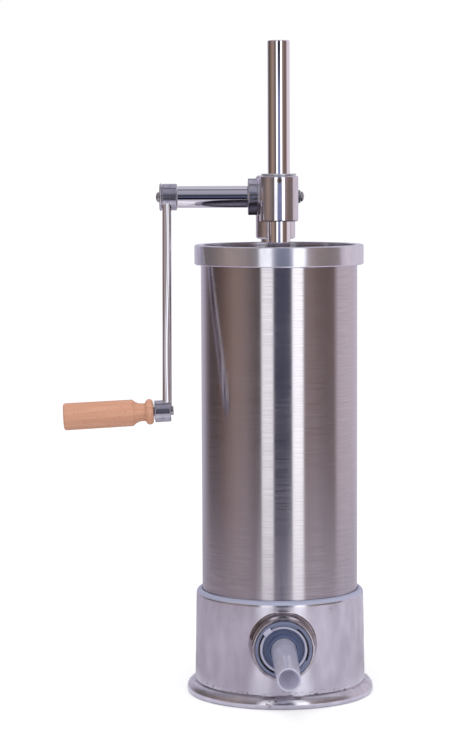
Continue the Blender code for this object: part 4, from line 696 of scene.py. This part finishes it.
print("rack and piston made")


# Crank shaft, its end screws, and the arm with its two hubs

crank = {"shaftRadius": 10.0, "shoulder": -28.0, "shaftLeft": -92.3, "journal": 7.0, "end": 5.0,
         "step": 8.7, "right": 18.4, "square": 4.5, "squareHole": 4.8, "squareLeft": -105.8,
         "hubLeft": -106.3, "hubRight": -92.6, "hubRadius": 12.15, "hubRound": 0.8,
         "armX": -101.9, "armThick": 8.2, "armWide": 16.5, "armRound": 3.9, "armRows": 40,
         "armLength": (gripPlace - crankPlace).yz.length / mm, "crestSwing": 1.3,
         "gripHubRadius": 9.75, "gripHubLength": 14.3, "gripHubRound": 0.9, "boltHole": 4.3,
         "rightScrewHole": 2.8, "leftScrewHole": 3.3}
square, squareHole, armLength = crank["square"], crank["squareHole"], crank["armLength"]
shaftShape = turned(crank, [
    (0.0, "right"), ("end", "right", 0.4), ("end", "step"), ("journal", "step"),
    ("journal", "shoulder"), ("shaftRadius", "shoulder", 0.4), ("shaftRadius", "shaftLeft", 0.3),
    (0.0, "shaftLeft")], 128)
squareEnd = block((-square, -square, crank["squareLeft"]),
                  (square, square, crank["shaftLeft"] + 5.0))
screwHoles = [prism(32, crank["rightScrewHole"], 10.0, 20.0),
              prism(32, crank["leftScrewHole"], -110.0, -94.0)]
shaftShape = combined(shaftShape, joins=[squareEnd], cuts=screwHoles)
addPiece("shaft_bar", shaftShape, crankFrame, chromeLook, "crank", "crank_shaft")

halfThick, halfWide = crank["armThick"] / 2, crank["armWide"] / 2
armShape = block((crank["armX"] - halfThick, -halfWide, -armLength),
                 (crank["armX"] + halfThick, halfWide, 0.0), crank["armRound"], 6)
# the bar is hand ground: its front crest runs right of the middle above, and left of it below
for row in range(1, crank["armRows"]):
    bmesh.ops.bisect_plane(
        armShape, geom=armShape.verts[:] + armShape.edges[:] + armShape.faces[:],
        plane_co=(0.0, 0.0, -armLength * mm * row / crank["armRows"]), plane_no=(0, 0, 1))
for vert in armShape.verts:
    aside = (vert.co.x / mm - crank["armX"]) / halfThick
    front = (-vert.co.y / mm - halfWide + crank["armRound"]) / crank["armRound"]
    swing = sin(2 * pi * (-vert.co.z / mm) / armLength) * min(1.0, max(0.0, front))
    vert.co.x += crank["crestSwing"] * swing * max(0.0, 1.0 - aside ** 2) * mm
toGrip = leanFrame.inverted() @ gripFrame


def hub(radius, low, high, rounding, steps, place):
    return moved(turned(crank, [(0.0, low), (radius, low, rounding), (radius, high, rounding),
                                (0.0, high)], steps), place)


def upperHub():
    return hub("hubRadius", "hubLeft", "hubRight", "hubRound", 128, quarterTurn('Y'))


def lowerHub():
    half = crank["gripHubLength"] / 2
    return hub("gripHubRadius", -half, half, "gripHubRound", 96, toGrip)


squareWay = block((crank["hubLeft"] - 2.0, -squareHole, -squareHole),
                  (crank["hubRight"] + 2.0, squareHole, squareHole))
boltWay = moved(prism(32, crank["boltHole"], -12.0, 12.0), toGrip)
for name, shape, cuts, metal in (("arm_bar", armShape, [upperHub(), lowerHub()], chromeLook),
                                 ("hub_upper", upperHub(), [squareWay], hubMetal),
                                 ("hub_lower", lowerHub(), [boltWay], hubMetal)):
    addPiece(name, combined(shape, cuts=cuts), leanFrame, metal, "crank", "crank_arm")


endWasher = {"radius": 6.0, "hole": 2.8, "low": 18.7, "high": 20.2, "round": 0.4}
endDisc = {"radius": 12.5, "hole": 3.3, "low": 106.6, "high": 108.7, "round": 1.2}
endScrew = {"seat": 20.5, "head": 4.7, "height": 3.3, "shank": 2.5, "length": 9.5, "slot": 0.9,
            "slotDepth": 1.6}
discScrew = {"seat": 109.0, "head": 4.6, "height": 3.0, "shank": 3.0, "length": 12.0,
             "slot": 0.9, "slotDepth": 1.6}


def washer(sizes):
    return turned(sizes, [("hole", "low"), ("radius", "low", 0.3), ("radius", "high", "round"),
                          ("hole", "high", 0.2)], ring=True)


def crossScrew(sizes):
    # a domed head with a cross slot over a little more than half of it
    radius, height, seat, slot = (sizes[key] for key in ("head", "height", "seat", "slot"))
    dome = arcPoints((0.0, seat + height * 0.25), (radius, height * 0.75), 90, 0, 8)
    top, end, reach = seat + height, seat - sizes["length"], radius * 0.55
    slots = [block((-along, -across, top - sizes["slotDepth"]), (along, across, top + 1.0))
             for along, across in ((reach, slot / 2), (slot / 2, reach))]
    outline = [(0.0, top), *dome[1:], (radius, seat, 0.2), ("shank", seat), ("shank", end),
               (0.0, end)]
    return combined(turned(sizes, outline, 64), cuts=slots)


addPiece("end_washer", washer(endWasher), crankFrame, plainSteel, "crank",
         "shaft_end_washer")
addPiece("end_screw", crossScrew(endScrew), crankFrame, screwSteel, "crank",
         "shaft_end_screw")
addPiece("end_disc", washer(endDisc), leftFrame, satinMetal, "crank",
         "crank_end_disc")
addPiece("disc_screw", crossScrew(discScrew), leftFrame, screwSteel, "crank",
         "crank_end_screw")
print("crank made")


# Grip: turned beech on a bolt

handle = {"low": 8.25, "high": 88.45, "bead": 6.94, "beadRadius": 11.45, "neckRadius": 8.0,
          "groove": 7.4, "waist": 9.95, "sweep": 11.2, "sweepTurn": 49.0, "endRadius": 12.1,
          "endRound": 2.5, "bore": 4.3, "counterbore": 7.3, "boltRadius": 4.0, "boltHead": 7.0,
          "headInset": 1.5, "headThick": 4.0, "boltTail": -9.65, "key": 2.9, "keyDepth": 2.7}
headTop = handle["high"] - handle["headInset"]
headLow = headTop - handle["headThick"]
beadHalf = handle["bead"] / 2
bead = arcPoints((handle["beadRadius"] - beadHalf, handle["low"] + beadHalf),
                 (beadHalf, beadHalf), -72, 75, 10)
sweep = arcPoints((handle["neckRadius"] + handle["sweep"], handle["low"] + handle["waist"]),
                  (handle["sweep"], handle["sweep"]), 180.0, 180.0 - handle["sweepTurn"], 10)
gripShape = turned(handle, [
    ("bore", "low"), *bead, ("neckRadius", handle["low"] + handle["groove"], 0.3), *sweep[:-1],
    (*sweep[-1], 0.7), ("endRadius", "high", "endRound"), ("counterbore", "high", 0.5),
    ("counterbore", headLow - 0.3), ("bore", headLow - 0.3)], ring=True, fillet=8)
addPiece("grip_beech", wrapUv(gripShape, handle["endRadius"]), gripFrame, woodLook, "grip",
         "grip")
boltShape = turned(handle, [(0.0, headTop), ("boltHead", headTop, 0.8), ("boltHead", headLow, 0.2),
                            ("boltRadius", headLow), ("boltRadius", "boltTail", 0.5),
                            (0.0, "boltTail")], 64)
keyWay = prism(6, handle["key"], headTop - handle["keyDepth"], headTop + 1.0)
addPiece("bolt_bar", combined(boltShape, cuts=[keyWay]), gripFrame, plainSteel, "crank",
         "grip_bolt")
print("grip made")


# Nozzle: bayonet ring in the outlet, holder with its two tabs, and the filling tube; seen from
# the front, the outlet frame's own +Y points up and its +X to the right

lockRing = {"outer": 25.2, "inner": 22.6, "back": 86.4, "front": 98.5, "lipInner": 21.3,
            "lipBack": 93.9, "lips": ((57.0, 119.0), (247.0, 334.0)), "edge": 0.7}
ringShape = turned(lockRing, [("inner", "back"), ("outer", "back"), ("outer", "front", "edge"),
                              ("inner", "front", 0.4)], 144, ring=True)
lips = [sector(lockRing["lipInner"], lockRing["inner"] + 1.5, lockRing["lipBack"],
               lockRing["front"] - 0.5, start, end, 40) for start, end in lockRing["lips"]]
addPiece("bayonet_ring", combined(ringShape, joins=lips), outletFrame, greyPlastic, "frame",
         "outlet_lock_ring")

holder = {"radius": 21.0, "back": 88.5, "front": 97.2, "rim": 2.4, "face": 93.2,
          "tabRadius": 22.2, "tabSpan": 60.0, "tabThick": 3.4, "bore": 11.8, "collar": 13.0,
          "collarFront": 101.7, "lugStart": 121.0, "lugEnd": 142.0, "lugRadius": 23.7,
          "lugLow": 98.7, "lugHigh": 100.2}
holderShape = turned(holder, [
    ("bore", "back"), ("radius", "back", 0.3), ("radius", "face"), ("collar", "face", 2.2),
    ("collar", "collarFront", 0.5), ("bore", "collarFront", 0.4)], 144, ring=True)
radius, face, halfSpan = holder["radius"], holder["face"], holder["tabSpan"] / 2
tabs = [sector(radius - 1.0, holder["tabRadius"], face - holder["tabThick"], face,
               middle - halfSpan, middle + halfSpan, 24) for middle in (90.0, 270.0)]
addPiece("holder_disc", combined(holderShape, joins=tabs), outletFrame, bluePlastic, "nozzle",
         "nozzle_holder")
rimInner, rimBack = radius - holder["rim"], face + 0.05
rimShape = turned(holder, [(rimInner, rimBack), ("radius", rimBack), ("radius", "front", 0.8),
                           (rimInner, "front", 0.8)], 144, ring=True)
lugHigh, lugStart, lugEnd = holder["lugHigh"], holder["lugStart"], holder["lugEnd"]
lug = [sector(rimInner + 0.6, radius - 0.02, face + 1.0, lugHigh, lugStart, lugEnd, 16),
       sector(rimInner + 0.65, holder["lugRadius"], holder["lugLow"], lugHigh - 0.03,
              lugStart + 0.3, lugEnd - 0.3, 16, 0.4)]
addPiece("holder_rim", combined(rimShape, joins=lug), outletFrame, palePlastic, "nozzle",
         "nozzle_holder")

spout = {"root": 11.5, "rootInside": 9.8, "tip": 10.05, "tipInside": 8.35, "end": 219.0,
         "flange": 19.5, "back": 86.4, "front": 88.2}
spoutShape = turned(spout, [
    ("rootInside", "back"), ("flange", "back"), ("flange", "front", 0.4), ("root", "front", 0.3),
    ("tip", "end", 0.8), ("tipInside", "end", 0.8)], 128, ring=True)
addPiece("spout", spoutShape, outletFrame, milkyPlastic, "nozzle", "filling_tube")
print("nozzle made")


# CAD nodes that stay as they are, with their finishes

kept = {"tank_seal": rubberLook, "nozzle_gasket": rubberLook, "base_set_screw": plainSteel,
        "head_set_screw": plainSteel, "lower_guide_bush": plainSteel, "drive_pinion": plainSteel,
        "pinion_key": plainSteel, "grip_washer": plainSteel, "piston_washer": plainSteel,
        "piston_nut": plainSteel, "left_shaft_bush": bronzeLook, "right_shaft_bush": bronzeLook}
for node, material in kept.items():
    data = frame["nodes"][node].data
    data.materials.clear()
    data.materials.append(material)


# Studio: a pale table, a wider floor beyond it, and a room that only shows in the metal

studio = {"tableSide": 900.0, "tableFront": 700.0, "tableBack": 900.0, "floorSide": 30000.0,
          "floorWhite": "#f4f4f4", "tableLeft": "#c4bcc6", "tableRight": "#d8d3dd",
          "mottle": "#6f6670", "mottleSize": 71.43, "fibreSize": 3.333, "tableDim": 0.35,
          "paintedLightNearTank": "#f0eef6", "floorGlow": 0.2, "plain": 0.92, "ceiling": "#bcbcc8",
          "cellar": "#17171b"}
# how strongly the lamps streak the table, by azimuth in degrees from the camera's side
tableStreaks = [(-180, 0.0), (-36, 0.0), (-29, 0.6), (-14, 0.6), (-9, 0.05), (7, 0.1), (14, 1.0),
                (28, 1.0), (35, 0.1), (46, 0.0), (180, 0.0)]


def filled(ramp, stops):
    # stops are (degrees, grey or hex colour), over the span from the first one to the last
    elements = ramp.color_ramp.elements
    while len(elements) < len(stops):
        elements.new(0.5)
    span = stops[-1][0] - stops[0][0]
    for element, (angle, value) in zip(elements, stops):
        element.position = angle / span + 0.5
    for element, (angle, value) in zip(elements, stops):
        element.color = hexColour(value) if isinstance(value, str) else (value, value, value, 1.0)
    return ramp


def azimuthShare(add, direction):
    # 0 to 1 for -180 to 180 degrees from the camera's side, positive to the right
    parts = add("SeparateXYZ", [direction]).outputs
    back = add("Math", [parts[1], -1.0], operation='MULTIPLY')
    turn = add("Math", [parts[0], back], operation='ARCTAN2')
    return add("MapRange", [turn, -pi, pi])


def makeFloor(name, low, high, drop):
    shape = bmesh.new()
    bmesh.ops.create_grid(shape, x_segments=1, y_segments=1, size=0.5)
    size = (Vector(high) - Vector(low)) * mm
    middle = (Vector(high) + Vector(low)) / 2 * mm
    bmesh.ops.scale(shape, vec=(*size, 1.0), verts=shape.verts)
    bmesh.ops.translate(shape, vec=(*(tankFoot.xy + middle), -drop * mm), verts=shape.verts)
    floor = looseObject(name, shape)
    floor.data.materials.append(floorLook)
    return floor


# plain matt paper, lit evenly; in the metal it is mottled, paler at the right, streaked, and
# painted paler near the tank as a painted pool of light
floorLook, shader, add = newMaterial("palePaper", Roughness=0.9, Specular_IOR_Level=0.0)
path = add("LightPath").outputs
place = add("TexCoord").outputs["Object"]
fibre = add("TexNoise", [place, *patternScale(studio["fibreSize"]), 3.0])
fibred = add("MapRange", [fibre, *noiseRange, 0.0, 0.04])
paper = add("Mix", [fibred, studio["floorWhite"], "#ffffff"], data_type='RGBA')
across = add("MapRange", [add("SeparateXYZ", [place]), -0.1, 0.25])
sides = add("Mix", [across, studio["tableLeft"], studio["tableRight"]], data_type='RGBA')
mottle = add("TexNoise", [place, *patternScale(studio["mottleSize"])])
mottled = add("MapRange", [mottle, *noiseRange, 0.0, studio["tableDim"]])
tableSeen = add("Mix", [mottled, sides, studio["mottle"]], data_type='RGBA')
fromAxis = add("VectorMath", [place, tankFoot], operation='SUBTRACT')
streak = filled(add("ValToRGB", [azimuthShare(add, fromAxis)]), tableStreaks)
tableSeen = add("Mix", [streak, tableSeen, "#fbfaff"], data_type='RGBA')
# close to the tank the table is painted paler: a painted pool of light that shows only in the metal
away = add("VectorMath", [place, tankFoot], operation='DISTANCE')
beyond = add("MapRange", [away, 0.10, 0.15])
tableSeen = add("Mix", [beyond, studio["paintedLightNearTank"], tableSeen], data_type='RGBA')
glow = add("Emission", {"Color": "#ffffff", "Strength": studio["floorGlow"]})
lit = add("AddShader", [shader, glow])
setInputs(shader, {"Base Color": add("Mix", [path["Is Glossy Ray"], paper, tableSeen],
                                     data_type='RGBA')})
setInputs(floorLook.node_tree.nodes["Material Output"], {
    "Surface": add("MixShader", [path["Is Camera Ray"], shader, lit])})

makeFloor("table", (-studio["tableSide"], -studio["tableFront"]),
          (studio["tableSide"], studio["tableBack"]), 0.0)
wide = studio["floorSide"]
makeFloor("floor", (-wide, -wide), (wide, wide), 0.2).visible_glossy = False

# what the metal sees, by azimuth in degrees from the camera's side, positive to the right
bands = [(-180, "#cbc7d8"), (-165, "#cfcad8"), (-146, "#bdb5c3"), (-134, "#857a7f"),
         (-125, "#615452"), (-112, "#594c49"), (-95, "#735e54"), (-71, "#9e887c"),
         (-62, "#9c867b"), (-51, "#8d7b72"), (-38, "#6d5e5a"), (-29.5, "#5a4e4c"),
         (-27, "#ffffff"), (-11, "#ffffff"), (-9, "#2b282f"), (15.5, "#2b282f"),
         (17.5, "#ffffff"), (33, "#ffffff"), (35, "#998885"), (45, "#927d75"), (55, "#7d685e"),
         (72, "#75635e"), (86, "#7f6d68"), (95, "#ddd0d6"), (115, "#e4d8de"), (142, "#ddd3dd"),
         (180, "#cbc7d8")]
# how much of the ceiling shows at each elevation, and of the dark below the table
ceilingBand = [(-90, 0.0), (0, 0.0), (20, 0.1), (34, 0.4), (50, 0.5), (68, 0.7), (80, 0.15),
               (90, 0.0)]
cellarBand = [(-90, 1.0), (-48, 1.0), (-36, 0.0), (90, 0.0)]
# the strips' brightness above white, and the dark gap between them, which pales upwards
stripGain = [(-180, 0.0), (-29.5, 0.0), (-27, 0.45), (-11, 0.4), (-9, 0.0), (15.5, 0.0),
             (17.5, 0.9), (33, 0.9), (35, 0.0), (180, 0.0)]
gapBand = [(-180, 0.0), (-11, 0.0), (-9, 1.0), (15.5, 1.0), (17.5, 0.0), (180, 0.0)]
gapShades = [(-90, "#a9a5b2"), (-28, "#a9a5b2"), (-22, "#14141c"), (-5, "#14141c"),
             (-2.6, "#4a5170"), (-1.7, "#868eb4"), (1.4, "#868eb4"), (2.4, "#1c1d29"),
             (22, "#1c1d29"), (29, "#5c5f75"), (38, "#8b8c9e"), (62, "#827e8d"),
             (78, "#5f5a69"), (90, "#5a5563")]
# the strips end a little way up, and only the gap's shades go on above them
stripWindow = [(-180, 0.0), (-36, 0.0), (-33, 1.0), (37, 1.0), (40, 0.0), (180, 0.0)]
stripTop = [(-90, 0.0), (52, 0.0), (64, 1.0), (90, 1.0)]

world = bpy.data.worlds.new("studio")
scene.world = world
world.use_nodes = True
add = partial(addNode, world.node_tree)
path = add("LightPath").outputs
view = add("TexCoord").outputs["Generated"]
azimuth = azimuthShare(add, view)
rise = add("Math", [add("SeparateXYZ", [view]).outputs[2]], operation='ARCSINE')
elevation = add("MapRange", [rise, -pi / 2, pi / 2])
gains, inGap, walls, inWindow = (filled(add("ValToRGB", [azimuth]), stops)
                                 for stops in (stripGain, gapBand, bands, stripWindow))
shades, aboveStrips, inCeiling, inCellar = (
    filled(add("ValToRGB", [elevation]), stops)
    for stops in (gapShades, stripTop, ceilingBand, cellarBand))
gain = add("MapRange", [gains, 0.0, 1.0, 1.0, 2.0])
walls = add("Mix", [inGap, walls, shades], data_type='RGBA')
walls = add("VectorMath", [walls, gain], operation='SCALE')
overStrips = add("Math", [inWindow, aboveStrips], operation='MULTIPLY')
walls = add("Mix", [overStrips, walls, shades], data_type='RGBA')
upper = add("Mix", [inCeiling, walls, studio["ceiling"]], data_type='RGBA')
seen = add("Mix", [inCellar, upper, studio["cellar"]], data_type='RGBA')
plain = (studio["plain"], studio["plain"], studio["plain"] * 1.02, 1.0)
around = add("Mix", [path["Is Glossy Ray"], plain, seen], data_type='RGBA')
around = add("Mix", [path["Is Camera Ray"], around, "#ffffff"], data_type='RGBA')
setInputs(world.node_tree.nodes["Background"], {"Color": around, "Strength": 1.0})

lamps = {"overhead": {"place": (-300.0, -500.0, 1500.0), "size": 900.0, "power": 6.0},
         "side": {"place": (900.0, -900.0, 900.0), "size": 700.0, "power": 4.0}}
aim = tankFoot + Vector((0.0, 0.0, 300.0)) * mm
for name, values in lamps.items():
    light = bpy.data.lights.new(name, 'AREA')
    light.size = values["size"] * mm
    light.energy = values["power"]
    lamp = bpy.data.objects.new(name, light)
    scene.collection.objects.link(lamp)
    lampPlace = tankFoot + Vector(values["place"]) * mm
    lamp.matrix_world = towards(lampPlace, lampPlace - aim)
    lamp.visible_glossy = False
print("studio made")


# Camera, as found from the photograph: a long lens, 5 degrees down, a little turned and rolled

shot = {"lens": 115.9, "height": 487.0, "distance": 2157.0, "left": 45.0, "turn": 0.75,
        "pitch": 5.0, "roll": -0.25}
yaw = radians(shot["turn"])
ahead = Vector((sin(yaw), cos(yaw), 0.0))
right = Vector((cos(yaw), -sin(yaw), 0.0))
stand = tankFoot + (Vector((0.0, 0.0, shot["height"])) - ahead * shot["distance"]
                    - right * shot["left"]) * mm
cameraData = bpy.data.cameras.new("camera")
cameraData.lens = shot["lens"]
cameraData.sensor_width = 36.0
cameraData.clip_start = 0.05
cameraData.clip_end = 100.0
camera = bpy.data.objects.new("camera", cameraData)
scene.collection.objects.link(camera)
camera.matrix_world = (Matrix.Translation(stand) @ Matrix.Rotation(-yaw, 4, 'Z')
                       @ Matrix.Rotation(pi / 2 - radians(shot["pitch"]), 4, 'X')
                       @ Matrix.Rotation(radians(shot["roll"]), 4, 'Z'))
scene.camera = camera
scene.view_settings.view_transform = 'Standard'

print("camera made")
